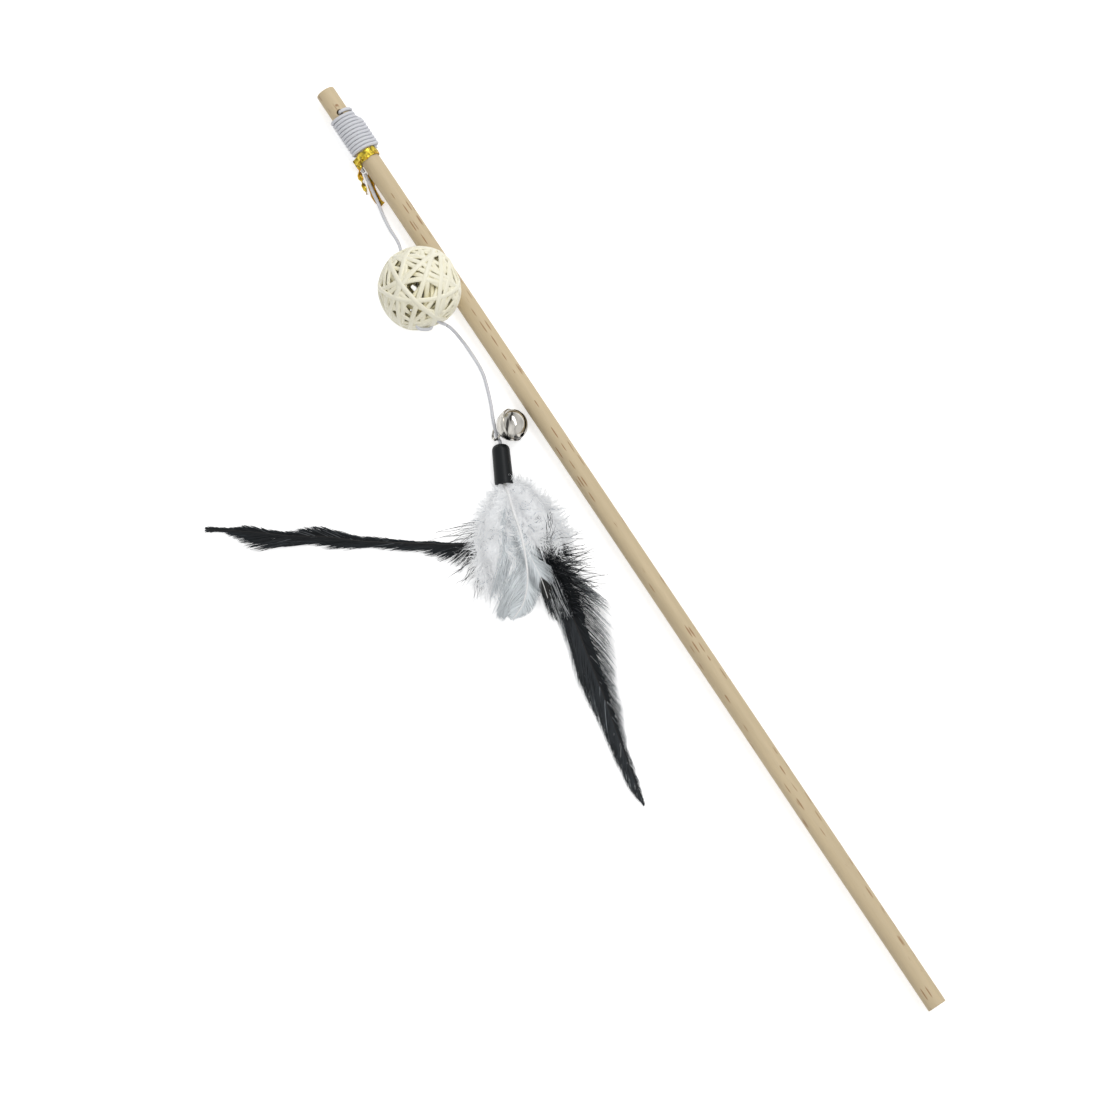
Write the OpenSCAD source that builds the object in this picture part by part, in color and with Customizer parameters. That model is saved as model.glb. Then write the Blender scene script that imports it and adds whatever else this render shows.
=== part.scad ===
// Cat teaser wand: a wooden stick with a wound elastic cord, a woven cane ball, a jingle bell
// and a capped bunch of feathers. It lies on a table. X runs along the stick from the butt to
// the tip, Y towards the side where the ball lies, Z up. The origin is the centre of the butt.

/* [Stick] */
// Length of the stick
stick_len = 400; // [250:5:600]
// Diameter of the stick
stick_d = 7.2; // [6:0.1:10]
// Rounding of the edge at the tip
tip_round = 0.6; // [0.2:0.1:1.5]
// Rounding of the edge at the butt
butt_round = 0.25; // [0.1:0.05:1]
// Diameter of the cross hole that the cord is threaded through
hole_d = 2.4; // [1.8:0.1:3]
// Distance from the tip to the middle of the cross hole
hole_back = 10.5; // [7:0.5:20]

/* [Cord] */
// Diameter of the elastic cord
cord_d = 1.3; // [1:0.05:1.6]
// Diameter that the wound turns are drawn at, so that each turn stays apart
wound_d = 0.86; // [0.5:0.02:0.9]
// Whole turns of cord wound on the stick
turns = 11; // [4:1:20]
// Step from one turn to the next
turn_step = 1.4; // [1.35:0.05:2]
// Extra step of the first turn, which leaves the hole
first_step = 0.5; // [0.3:0.1:2]
// Spare room between the tucked tail and the turns over it
tail_slack = 0.2; // [0.15:0.05:0.5]
// Length of the cord's straight stub past the tie
stub_len = 0.9; // [0.5:0.1:3]
// Clearance between a cord's end and the rounded end that turns beside it
end_gap = 0.35; // [0.1:0.05:0.5]
// Clearance between the stick and a cord that leaves it
exit_lift = 0.35; // [0.3:0.05:0.6]

/* [Twist tie] */
// Width of the foil ribbon
tie_w = 3.2; // [2:0.1:4]
// Thickness of the folded foil band
tie_t = 0.35; // [0.25:0.05:0.6]
// Thickness of the single foil ribbon
foil_t = 0.24; // [0.2:0.02:0.4]
// Length of the twisted tail
twist_len = 12.5; // [6:0.5:20]
// Width of the ribbon where it is twisted
twist_w = 1.6; // [1:0.1:2.5]
// Full turns in the twisted tail
twist_turns = 2.5; // [1:0.5:5]
// Length of the flat tail
flat_len = 15; // [8:0.5:25]
// Width of the flat tail
flat_w = 2.6; // [1.5:0.1:4]
// Diameter of the steel wire inside the ribbon
wire_d = 0.14; // [0.1:0.02:0.2]

/* [Cane ball] */
// Outer diameter of the woven ball
ball_d = 31.2; // [26:0.2:40]
// Width of one cane
cane_w = 1.6; // [1.2:0.1:1.8]
// Thickness of one cane
cane_t = 1.1; // [0.8:0.05:1.2]
// Space between the two canes of a pair
pair_gap = 0.4; // [0.3:0.05:0.6]
// Swing of a cane in and out as it passes over and under the others
weave = 1.05; // [0.95:0.05:1.3]

/* [Bell] */
// Outer diameter of the bell
bell_d = 11.6; // [9:0.2:13]
// Thickness of the bell's sheet metal
bell_wall = 0.35; // [0.25:0.05:0.6]
// Height of the crimped seam between the shells
seam_h = 0.9; // [0.5:0.1:1.5]
// How far the crimped seam stands proud
seam_out = 0.3; // [0.2:0.05:0.5]
// Width of the sound slit
slit_w = 0.8; // [0.5:0.1:1.5]
// Diameter of the round holes at the ends of the slit
slit_hole_d = 2.0; // [1.2:0.1:3]
// Diameter of the eye's hole
eye_d = 2.4; // [2:0.1:3]
// Thickness of the eye's strap
eye_t = 0.35; // [0.25:0.05:0.6]
// Width of the eye's strap
eye_w = 1.6; // [1:0.1:2.5]
// Diameter of the loose ball that rattles in the bell
clapper_d = 3.0; // [2:0.1:4]
// Clearance between the loose ball and the shell that it lies in
clapper_gap = 0.15; // [0.1:0.05:0.4]

/* [Feather cap] */
// Length of the cap
cap_len = 15; // [12:0.5:20]
// Diameter of the cap below its dome
cap_top_d = 6.5; // [6:0.1:7]
// Diameter of the cap's mouth
cap_mouth_d = 7; // [7:0.1:9]
// Thickness of the cap's wall
cap_wall = 0.7; // [0.5:0.05:0.9]
// Thickness of the dome at its top
dome_t = 1.2; // [0.8:0.1:1.8]
// Diameter of the hole in the dome
cap_hole_d = 1.6; // [1.5:0.1:2]
// Distance from the dome to the point that the cap swings about
neck_len = 1.0; // [0.8:0.1:2]
// Diameter of the knot that holds the cap on the cord
knot_d = 2.6; // [2.2:0.1:3.2]
// Depth of the glue below the mouth
glue_back = 1.5; // [0.5:0.1:3]

/* [Feathers] */
// Diameter of a quill where it is held in the cap
quill_d = 0.9; // [0.6:0.1:1]
// Length of the pale feather beyond the cap
white_len = 50; // [35:1:70]
// Half width of the pale feather's wider side
white_w = 13.5; // [6:0.5:16]
// Length of the small spotted feather beyond the cap
spot_len = 44; // [30:1:60]
// Half width of the small spotted feather
spot_w = 4.2; // [2:0.2:5]
// Length of the left down plume beyond the cap
down_left_len = 46; // [30:1:60]
// Length of the right down plume beyond the cap
down_right_len = 35; // [25:1:60]
// Half width of each down plume
down_w = 9.2; // [5:0.2:10]
// Half height of each down plume
down_h = 3.4; // [2:0.2:5]
// Length of the dark feather on the left beyond the cap
left_len = 110; // [60:1:140]
// Half width of the dark feather on the left
left_w = 6.5; // [3:0.5:8]
// Length of the dark feather on the right beyond the cap
right_len = 121; // [60:1:150]
// Half width of the dark feather on the right
right_w = 12.5; // [6:0.5:14]
// Thickness of a flat feather along its shaft
vane_t = 0.9; // [0.5:0.1:1.2]

/* [Hidden] */
$fn = 64;
// Overrun of every cut
over = 0.5;
// Clearance between pieces that are pushed together by hand
fit = 0.05;

stick_r = stick_d / 2;
cord_r = cord_d / 2;
// Distance from the stick's axis to the middle of a cord that lies on it
lie_r = stick_r + cord_r;
// The table that everything lies on
table_z = -(stick_r + cord_d);
hole_x = stick_len - hole_back;

wood = [0.84, 0.74, 0.58];
white_cord = [0.9, 0.91, 0.94];
gold = [0.83, 0.66, 0.12];
steel = [0.55, 0.56, 0.58];
cane_col = [0.93, 0.91, 0.8];
nickel = [0.72, 0.71, 0.69];
black_cap = [0.11, 0.12, 0.13];
glue_col = [0.88, 0.86, 0.8];
down_col = [0.84, 0.86, 0.88];
pale_col = [0.78, 0.81, 0.82];
dark_col = [0.12, 0.13, 0.15];

// Vectors and sweeps
function unit(v) = v / norm(v);
function heading(p, i) = unit(p[min(i + 1, len(p) - 1)] - p[max(i - 1, 0)]);
function square_to(u, h) = unit(u - (u * h) * h);
function carried(p, up) =
    [for (i = 0, u = square_to(up, heading(p, 0)); i < len(p);
          i = i + 1, u = i < len(p) ? square_to(u, heading(p, i)) : u) u];
function ring(c, h, u, section) = [for (s = section) c + s.x * cross(u, h) + s.y * u];
function round_section(r, sides) = [for (j = [0:sides - 1]) r * [cos(j * 360 / sides), sin(j * 360 / sides)]];

// A closed skin over rings of equal count, open at its ends or joined into a hoop
module skin(rings, hoop = false) {
    n = len(rings[0]);
    m = len(rings);
    sides = [for (i = [0:m - (hoop ? 1 : 2)]) for (j = [0:n - 1])
        let (a = i * n + j, b = i * n + (j + 1) % n, d = ((i + 1) % m) * n + j, c = ((i + 1) % m) * n + (j + 1) % n)
        each [[a, d, c], [a, c, b]]];
    caps = hoop ? [] : [for (j = [1:n - 2]) each [[0, j, j + 1], [(m - 1) * n, (m - 1) * n + j + 1, (m - 1) * n + j]]];
    polyhedron(points = [for (r = rings) each r], faces = concat(sides, caps), convexity = 10);
}
// A round tube along a path
module tube(p, d, sides, up = [0, 0, 1]) {
    u = carried(p, up);
    skin([for (i = [0:len(p) - 1]) ring(p[i], heading(p, i), u[i], round_section(d / 2, sides))]);
}
// A cord whose first end is a half ball about its first point
module round_ended_cord(p, d, sides, up = [0, 0, 1]) {
    u = carried(p, up);
    h = heading(p, 0);
    nose = [for (a = [75, 45]) ring(p[0] - h * sin(a) * d / 2, h, u[0], round_section(cos(a) * d / 2, sides))];
    body = [for (i = [0:len(p) - 1]) ring(p[i], heading(p, i), u[i], round_section(d / 2, sides))];
    skin(concat(nose, body));
}

// Stick
module dowel() {
    color(wood) difference() {
        rotate([90, 0, 90]) rotate_extrude() polygon(concat(
            [[0, 0]],
            [for (a = [270:30:360]) [stick_r - butt_round + butt_round * cos(a), butt_round + butt_round * sin(a)]],
            [for (a = [0:18:90]) [stick_r - tip_round + tip_round * cos(a),
                                  stick_len - tip_round + tip_round * sin(a)]],
            [[0, stick_len]]));
        translate([hole_x, 0, 0]) cylinder(d = hole_d, h = stick_d + 2 * over, center = true);
    }
}

// Wound cord. An angle of 0 is on top of the stick, 90 is on the side away from the ball
lap_rings = 24;
last_lap = turns * 360 + 235;
function around(x, a, r) = [x, -r * sin(a), r * cos(a)];
function lap_x(a) = hole_x - first_step * min(a, 360) / 360 - turn_step * a / 360;
// The tucked tail's angle at each distance back from the hole, in steps of a turn
tail_shares = [[-0.3, 168], [0, 140], [0.6, 132], [1.6, 124], [2.6, 114], [3.6, 104], [4.6, 96], [5.6, 90], [30, 90]];
function tail_angle(x) = lookup((hole_x - x) / turn_step, tail_shares);
// Distance from the axis to the middle of a turn that is drawn tight over the tail
over_r = cord_d + tail_slack;
tight = acos(1 - over_r / lie_r);
touch = atan2(over_r * sin(tight), lie_r + over_r * cos(tight));
function turn_r(x, a) =
    let (w = abs(((a - tail_angle(x) + 180) % 360) - 180))
    w > tight ? lie_r : w > touch ? lie_r / cos(tight - w)
    : lie_r * cos(w) + sqrt(over_r * over_r - pow(lie_r * sin(w), 2));
wind_end_x = lap_x(last_lap);
tail_end_x = wind_end_x - cord_r;
stub_side_angle = 251;
band_x = wind_end_x - cord_d;
pivot_x = band_x - tie_w - stub_len - cord_r - end_gap;
stub_end_x = pivot_x + cord_r + end_gap;
exit_r = lie_r + exit_lift;
exit_pivot = around(pivot_x, stub_side_angle, exit_r);

tail_run = [for (x = [tail_end_x:turn_step:hole_x - turn_step / 4]) around(x, tail_angle(x), lie_r)];
hole_run = [around(hole_x + cord_d * 0.3, 152, lie_r), around(hole_x + cord_d * 0.35, 166, stick_r + cord_r * 0.95),
            [hole_x + cord_d * 0.32, 0, -stick_r - cord_r * 0.6], [hole_x, 0, -stick_r + cord_r],
            [hole_x, 0, 0], [hole_x, 0, stick_r - cord_r * 0.6], [hole_x, -cord_d * 0.15, stick_r + cord_r * 0.4]];
lap_run = [for (a = [15:360 / lap_rings:last_lap]) around(lap_x(a), a, turn_r(lap_x(a), a))];
stub_run = [around(wind_end_x - cord_d * 0.35, stub_side_angle - 8, lie_r),
            around(wind_end_x - cord_d * 0.9, stub_side_angle - 2, exit_r),
            around(band_x - cord_d * 0.4, stub_side_angle, exit_r),
            around(stub_end_x + wound_d, stub_side_angle, exit_r),
            around(stub_end_x, stub_side_angle, exit_r)];
winding = concat(tail_run, hole_run, lap_run, stub_run);
// Least distance between points of the winding that are more than a third of a lap apart along it
apart = lap_rings / 3;
least_gap = min([for (i = [0:len(winding) - 1]) for (j = [i + apart:len(winding) - 1])
    norm(winding[i] - winding[j])]) - wound_d;
echo(least_gap_of_the_winding = least_gap);
module cord_winding() {
    color(white_cord) tube(winding, wound_d, 6);
}

// Twist tie: a foil band round the stick and the cord, a twisted tail and a flat tail
cord_seat = around(0, stub_side_angle, exit_r);
module band_outline(grow) {
    hull() {
        circle(r = stick_r + grow, $fn = 60);
        translate([cord_seat.y, cord_seat.z]) circle(r = cord_r + grow, $fn = 24);
    }
}
twist_root = [band_x - tie_w / 2, stick_r + cord_d * 0.75, tie_w * 0.3];
twist_way = unit([-12, 3.4, 0.3]);
twist_rings = 24;
flat_root = [band_x - tie_w / 2, stick_r * 0.3, -stick_r - fit - tie_t / 2];
flat_way = unit([-16, 4.8, -0.9]);
function ribbon_section(w, t) = [[-w / 2, -t / 2], [w / 2, -t / 2], [w / 2, t / 2], [-w / 2, t / 2]];
function turned(section, a) = [for (s = section) [s.x * cos(a) - s.y * sin(a), s.x * sin(a) + s.y * cos(a)]];
module twist_tail() {
    side = square_to([0, 0, 1], twist_way);
    skin([for (i = [0:twist_rings]) let (s = i / twist_rings)
        ring(twist_root + twist_way * twist_len * s, twist_way, side,
             turned(ribbon_section(twist_w * (0.75 + 0.25 * cos(s * 500)), foil_t * 2), s * twist_turns * 360))]);
}
module flat_tail() {
    side = square_to([0, 0, 1], flat_way);
    skin([for (s = [0, 0.3, 0.6, 1])
        ring(flat_root + flat_way * flat_len * s, flat_way, side, ribbon_section(flat_w, foil_t))]);
}
module twist_tie() {
    color(gold) {
        translate([band_x, 0, 0]) rotate([90, 0, -90]) mirror([1, 0, 0]) linear_extrude(tie_w) difference() {
            band_outline(fit + tie_t);
            band_outline(fit);
        }
        twist_tail();
        flat_tail();
    }
}
module tie_wire() {
    color(steel) tube([twist_root + twist_way * tie_t, twist_root + twist_way * (twist_len - tie_t)], wire_d, 6);
}

// The free cord's routes. Their X is measured back from the tip, their Y and Z from the stick's axis
tip = [stick_len, 0, 0];
function from_tip(p) = tip + p;
upper_route = [[-37.2, 4.9, -2.2], [-40.9, 5.5, -2.8], [-46.2, 6.3, -3.4], [-51, 7.2, -3.9], [-56, 7.8, -3.4],
               [-60.5, 8.2, -0.9], [-64, 8.9, 3], [-67.2, 10, 7.4], [-70.4, 11.3, 10.8], [-75, 12.2, 12.3],
               [-82, 12.6, 12.8], [-89, 13.2, 12.9], [-93.5, 14.3, 13],
               [-96.2, 15.4, 13.3], [-97.8, 16.2, 13.4], [-99, 17.5, 13.8], [-98.3, 19.5, 14.6], [-97, 21.1, 15.3],
               [-95.5, 21, 15.4], [-94.5, 20, 15.3], [-95.4, 17.9, 15.3], [-96.6, 15.7, 15], [-97.6, 13.9, 13.3],
               [-98.6, 12.9, 11], [-99.64, 11.65, 8.82]];
ball_exit = [-100.1, 11.3, 8.2];
lower_route = [[-101.2, 10.5, 6.4], [-103, 9.7, 3.2], [-105, 9, -0.4], [-107.6, 8.5, -3], [-111, 8.3, -4.1],
               [-116, 8.4, -4.25], [-120.5, 9, -4.25], [-125.5, 10.6, -4.25], [-131, 12.7, -4.2], [-135, 14.6, -3.7],
               [-137.7, 15.77, -3.08], [-140.4, 16.75, -3.08], [-142.6, 17.5, -2.7], [-144.05, 17.66, -1.99]];
cap_pivot = [-144.81, 17.74, -1.62];
eye_place = from_tip([-140.4, 16.75, -3.08]);
cord_sides = 8;

// Cane ball: six pairs of hoops round the axes of an icosahedron, each over and under the others
ball_back = 84.3;
lean_gap = 0.4;
lean = 47.4;
ball_turn = 11.4;
axis_tilt = acos(1 / sqrt(5));
hoop_rings = 40;
cane_mid_r = ball_d / 2 - weave - cane_t / 2;
pair_shift = (cane_w + pair_gap) / 2;
ball_reach = stick_r + lean_gap + cane_mid_r + cane_t / 2;
ball_c = [stick_len - ball_back, ball_reach * cos(lean), ball_reach * sin(lean)];
function pair_axis(i) = i == 0 ? [1, 0, 0]
    : [cos(axis_tilt), sin(axis_tilt) * cos(ball_turn + i * 72), sin(axis_tilt) * sin(ball_turn + i * 72)];
function hoop_point(n, e, a, shift) =
    n * shift + (cane_mid_r + weave * sin(5 * a)) * (cos(a) * e + sin(a) * cross(n, e));
module cane(i, side) {
    n = pair_axis(i);
    e = square_to(pair_axis(i == 0 ? 1 : 0), n);
    p = [for (k = [0:hoop_rings - 1]) hoop_point(n, e, k * 360 / hoop_rings, side * pair_shift)];
    color(cane_col) translate(ball_c) skin([for (k = [0:hoop_rings - 1])
        let (h = unit(p[(k + 1) % hoop_rings] - p[(k + hoop_rings - 1) % hoop_rings]))
        ring(p[k], h, square_to(p[k] - n * side * pair_shift, h), ribbon_section(cane_w, cane_t))], true);
}
module cord_upper() {
    color(white_cord) round_ended_cord(concat([exit_pivot], [for (p = upper_route) from_tip(p)]), cord_d, cord_sides);
}
module cord_lower() {
    color(white_cord) round_ended_cord([for (p = concat([ball_exit], lower_route)) from_tip(p)], cord_d, cord_sides);
}

// Bell: its own Z axis runs from the slit to the eye, its X axis along the cord through the eye
bell_r = bell_d / 2;
bell_in_r = bell_r - bell_wall;
eye_rise = 1.5;
bell_yaw = 160.1;
bell_tilt = 33;
slit_angle = 56;
eye_h = bell_r + eye_rise;
bell_c = eye_place + eye_h * [-cos(bell_tilt) * sin(bell_yaw), cos(bell_tilt) * cos(bell_yaw), sin(bell_tilt)];
clapper_drop = bell_in_r - clapper_gap - clapper_d / 2;
module at_bell() { translate(bell_c) rotate([90 + bell_tilt, 0, bell_yaw]) children(); }
module half_ring(from_z) {
    intersection() {
        difference() {
            circle(r = bell_r);
            circle(r = bell_in_r);
        }
        translate([0, from_z]) square([bell_d, bell_d]);
    }
}
module bell_upper_shell() {
    color(nickel) at_bell() rotate_extrude() half_ring(fit);
}
module bell_lower_shell() {
    color(nickel) at_bell() difference() {
        rotate_extrude() {
            mirror([0, 1]) half_ring(0);
            translate([bell_r - bell_wall / 2, -seam_h / 2]) square([seam_out + bell_wall / 2, seam_h / 2]);
            translate([bell_r + fit, -seam_h / 2]) square([seam_out - fit, seam_h]);
        }
        translate([0, 0, -bell_r * cos(slit_angle) - bell_r])
            cube([2 * bell_r * sin(slit_angle), slit_w, 2 * bell_r], center = true);
        for (a = [-slit_angle, slit_angle]) rotate([180, a, 0]) cylinder(d = slit_hole_d, h = bell_d);
    }
}
module strap_outline(r) {
    translate([0, eye_h]) circle(r = r);
    translate([-r, bell_in_r]) square([2 * r, eye_h - bell_in_r]);
}
module bell_eye() {
    color(nickel) at_bell() difference() {
        rotate([90, 0, 90]) translate([0, 0, -eye_w / 2]) linear_extrude(eye_w) difference() {
            strap_outline(eye_d / 2 + eye_t);
            strap_outline(eye_d / 2);
        }
        sphere(r = bell_r + fit);
    }
}
module bell_clapper() {
    color(steel) translate(bell_c - [0, 0, clapper_drop]) sphere(d = clapper_d);
}

// Feather cap: its own Z axis runs from the dome to the mouth
cap_yaw = 152.42;
cap_level = 89.05;
cap_way = [sin(cap_level) * cos(cap_yaw), sin(cap_level) * sin(cap_yaw), cos(cap_level)];
cap_top = from_tip(cap_pivot) + cap_way * neck_len;
cap_mouth = cap_top + cap_way * cap_len;
cap_left = [sin(cap_yaw), -cos(cap_yaw), 0];
dome_round = (cap_top_d - cap_hole_d) * 0.45;
cap_in_top_r = cap_top_d / 2 - cap_wall;
cap_in_mouth_r = cap_mouth_d / 2 - cap_wall;
glue_from = dome_t + knot_d + neck_len / 2;
glue_to = cap_len - glue_back;
quill_from = glue_from + quill_d;
function cap_in_r(z) = cap_in_top_r + (cap_in_mouth_r - cap_in_top_r) * (z - dome_t) / (cap_len - dome_t);
module at_cap() { translate(cap_top) rotate([0, cap_level, cap_yaw]) children(); }
module feather_cap() {
    color(black_cap) at_cap() rotate_extrude() polygon(concat(
        [[cap_hole_d / 2, 0]],
        [for (a = [-90:15:0]) [cap_top_d / 2 - dome_round + dome_round * cos(a), dome_round + dome_round * sin(a)]],
        [[cap_mouth_d / 2, cap_len], [cap_in_mouth_r, cap_len], [cap_in_r(dome_round), dome_round],
         [cap_in_top_r - dome_round / 2, dome_t], [cap_hole_d / 2, dome_t]]));
}
// The knot's middle lies where its ball just seats on the rim of the hole
knot_seat = dome_t + sqrt(pow(knot_d / 2 + fit, 2) - pow(cap_hole_d / 2, 2));
module cap_cord_knot() {
    color(white_cord) {
        translate(from_tip(cap_pivot)) sphere(d = cord_d);
        translate(from_tip(cap_pivot)) rotate([0, cap_level, cap_yaw]) cylinder(d = cord_d, h = neck_len + knot_seat);
        at_cap() translate([0, 0, knot_seat]) sphere(d = knot_d);
    }
}
// Places of the quills across the cap's mouth, as shares of its inner radius: left, then up
quill_shares = [[0, 0.62], [0, -0.02], [0.6, 0.2], [-0.6, 0.2], [0.5, -0.42], [-0.5, -0.42]];
function quill_at(i) = quill_shares[i] * cap_in_mouth_r;
module cap_glue() {
    color(glue_col) at_cap() difference() {
        translate([0, 0, glue_from])
            cylinder(r1 = cap_in_r(glue_from) - fit, r2 = cap_in_r(glue_to) - fit, h = glue_to - glue_from);
        for (i = [0:len(quill_shares) - 1]) translate([-quill_at(i).y, -quill_at(i).x, glue_from - over])
            cylinder(d = quill_d + 2 * fit, h = cap_len);
    }
}

// Feathers: each starts in the glue and settles to the height of its own layer
quill_r = quill_d / 2;
edge_t = vane_t / 4;
settle_run = 14;
layer_gap = 0.2;
seam_gap = 0.75;
hackle_z = table_z + fit + vane_t / 2;
plume_z = hackle_z + vane_t / 2 + layer_gap + down_h;
spotted_z = plume_z + down_h + layer_gap + vane_t / 2;
white_z = spotted_z + vane_t + layer_gap;
along = [cos(cap_yaw), sin(cap_yaw), 0];
cap_up = [-cos(cap_level) * cos(cap_yaw), -cos(cap_level) * sin(cap_yaw), sin(cap_level)];
function ease(s) = let (t = min(1, max(0, s))) t * t * (3 - 2 * t);
// A point at a distance beyond the mouth and to the left, on its way from the quill's place to its layer
function settled(u, v, i, z) =
    let (f = ease(u / settle_run), from = cap_mouth + cap_up * quill_at(i).y,
         at = cap_mouth + along * u + cap_left * (v + quill_at(i).x * (1 - f)))
    [at.x, at.y, from.z * (1 - f) + z * f];
function held(i) = [for (d = [quill_from + fit, glue_to, cap_len])
    cap_top + cap_way * d + cap_left * quill_at(i).x + cap_up * quill_at(i).y];
function vane_section(left, right, ridge, edge) =
    [[-left, -edge], [0, -ridge], [right, -edge], [right, edge], [0, ridge], [-left, edge]];
// Rows hold shares of the length and of the width: beyond, left, left half, right half. A half of 0 is bare shaft
module flat_feather(i, length, width, z, rows) {
    bare = quill_r * cos(30);
    root = held(i);
    p = concat(root, [for (r = rows) settled(r[0] * length, r[1] * length, i, z)]);
    halves = concat([for (r = root) [bare, bare, quill_r / 2]],
        [for (r = rows) [max(bare, r[2] * width), max(bare, r[3] * width), r[2] > 0 ? edge_t : quill_r / 2]]);
    skin([for (k = [0:len(p) - 1]) ring(p[k], heading(p, k), square_to([0, 0, 1], heading(p, k)),
        vane_section(halves[k][0], halves[k][1], quill_r, halves[k][2]))]);
}
white_rows_shares = [[0.095, -0.02, 0, 0], [0.189, -0.036, 0.42, 0.06], [0.26, -0.05, 0.75, 0.1],
    [0.344, -0.067, 0.95, 0.13], [0.5, -0.097, 1, 0.15], [0.652, -0.104, 0.95, 0.2], [0.793, -0.085, 0.8, 0.22],
    [0.906, -0.045, 0.5, 0.24], [0.995, -0.01, 0.16, 0.1]];
spotted_rows_shares = [[0.121, -0.009, 0, 0], [0.263, -0.032, 0, 0], [0.399, -0.065, 0, 0], [0.551, -0.119, 0, 0],
    [0.719, -0.189, 0.55, 0.55], [0.83, -0.235, 1, 1], [0.92, -0.27, 0.9, 0.9], [0.99, -0.3, 0.3, 0.3]];
left_rows_shares = [[0.045, 0.009, 0, 0], [0.106, 0.035, 0.15, 0.1], [0.153, 0.072, 0.22, 0.1],
    [0.174, 0.114, 0.3, 0.1], [0.178, 0.177, 0.45, 0.12], [0.167, 0.254, 0.6, 0.14], [0.152, 0.371, 0.5, 0.14],
    [0.134, 0.487, 0.38, 0.27], [0.108, 0.602, 0.55, 0.45], [0.093, 0.718, 0.7, 0.42], [0.07, 0.834, 1, 0.25],
    [0.055, 0.921, 0.62, 0.33], [0.046, 0.985, 0.12, 0.1]];
right_rows_shares = [[0.053, -0.021, 0, 0], [0.115, -0.047, 0.08, 0.08], [0.17, -0.066, 0.25, 0.12],
    [0.216, -0.084, 0.45, 0.3], [0.26, -0.11, 0.57, 0.6], [0.319, -0.136, 0.52, 0.85], [0.386, -0.158, 0.55, 1],
    [0.486, -0.186, 0.85, 0.72], [0.585, -0.205, 0.82, 0.49], [0.684, -0.23, 0.52, 0.43], [0.761, -0.253, 0.32, 0.4],
    [0.866, -0.28, 0.26, 0.35], [0.942, -0.304, 0.15, 0.22], [0.997, -0.319, 0.04, 0.04]];
module white_feather() { color(pale_col) flat_feather(0, white_len, white_w, white_z, white_rows_shares); }
module spotted_feather() { color(pale_col) flat_feather(1, spot_len, spot_w, spotted_z, spotted_rows_shares); }
module left_hackle() { color(dark_col) flat_feather(4, left_len, left_w, hackle_z, left_rows_shares); }
module right_hackle() { color(dark_col) flat_feather(5, right_len, right_w, hackle_z, right_rows_shares); }

// Down plumes lie on either side of a seam that the small feather's shaft follows
plume_sides = 12;
plume_rows_shares = [[0.04, 0.05, 0.13], [0.11, 0.3, 0.35], [0.2, 0.62, 0.65], [0.3, 0.85, 0.85], [0.42, 0.97, 1],
    [0.55, 1, 1], [0.7, 1, 0.95], [0.83, 0.88, 0.85], [0.93, 0.6, 0.6], [1, 0.15, 0.2]];
function seam_left(u) = lookup(u / spot_len, [for (r = spotted_rows_shares) [r[0], r[1]]]) * spot_len;
module down_plume(i, length, side) {
    root = held(i);
    rows = plume_rows_shares;
    p = concat(root, [for (r = rows) let (u = r[0] * length, w = max(quill_r, r[1] * down_w))
        settled(u, seam_left(u) + side * (w + seam_gap) - quill_at(i).x * (1 - ease(u / settle_run)), i, plume_z)]);
    sizes = concat([for (r = root) [quill_r, quill_r]],
        [for (r = rows) [max(quill_r, r[1] * down_w), max(quill_r, r[2] * down_h)]]);
    skin([for (k = [0:len(p) - 1]) ring(p[k], k > len(root) ? along : heading(p, k), [0, 0, 1],
        [for (s = round_section(1, plume_sides)) [s.x * sizes[k][0], s.y * sizes[k][1]]])]);
}
module down_plume_left() { color(down_col) down_plume(2, down_left_len, 1); }
module down_plume_right() { color(down_col) down_plume(3, down_right_len, -1); }

dowel();
cord_winding();
twist_tie();
tie_wire();
cord_upper();
cane(0, 1);  // cane_1
cane(0, -1);  // cane_2
cane(1, 1);  // cane_3
cane(1, -1);  // cane_4
cane(2, 1);  // cane_5
cane(2, -1);  // cane_6
cane(3, 1);  // cane_7
cane(3, -1);  // cane_8
cane(4, 1);  // cane_9
cane(4, -1);  // cane_10
cane(5, 1);  // cane_11
cane(5, -1);  // cane_12
cord_lower();
bell_upper_shell();
bell_lower_shell();
bell_eye();
bell_clapper();
cap_cord_knot();
feather_cap();
cap_glue();
white_feather();
spotted_feather();
down_plume_left();
down_plume_right();
left_hackle();
right_hackle();
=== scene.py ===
"""Dresses the cat teaser wand and sets it on a pale table under soft light."""

from math import cos, pi, radians, sin, sqrt, tau
from random import Random

import bpy
from bpy.props import FloatProperty, FloatVectorProperty, IntProperty, PointerProperty
from mathutils import Matrix, Vector


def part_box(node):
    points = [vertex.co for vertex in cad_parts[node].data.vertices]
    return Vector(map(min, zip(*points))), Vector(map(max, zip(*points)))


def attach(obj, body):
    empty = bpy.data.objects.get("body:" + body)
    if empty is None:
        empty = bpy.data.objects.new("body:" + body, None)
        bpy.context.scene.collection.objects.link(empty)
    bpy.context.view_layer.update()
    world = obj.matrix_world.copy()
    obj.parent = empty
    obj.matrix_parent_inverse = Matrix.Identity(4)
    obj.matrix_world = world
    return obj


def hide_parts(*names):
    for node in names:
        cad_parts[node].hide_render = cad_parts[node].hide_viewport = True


bl_info = {
    "name": "Cat teaser wand",
    "version": (1, 0, 0),
    "blender": (4, 5, 0),
    "location": "View3D > Sidebar > Wand",
    "description": "Builds the looks of a cat teaser wand round its fixed parts",
    "category": "Object",
}

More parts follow.
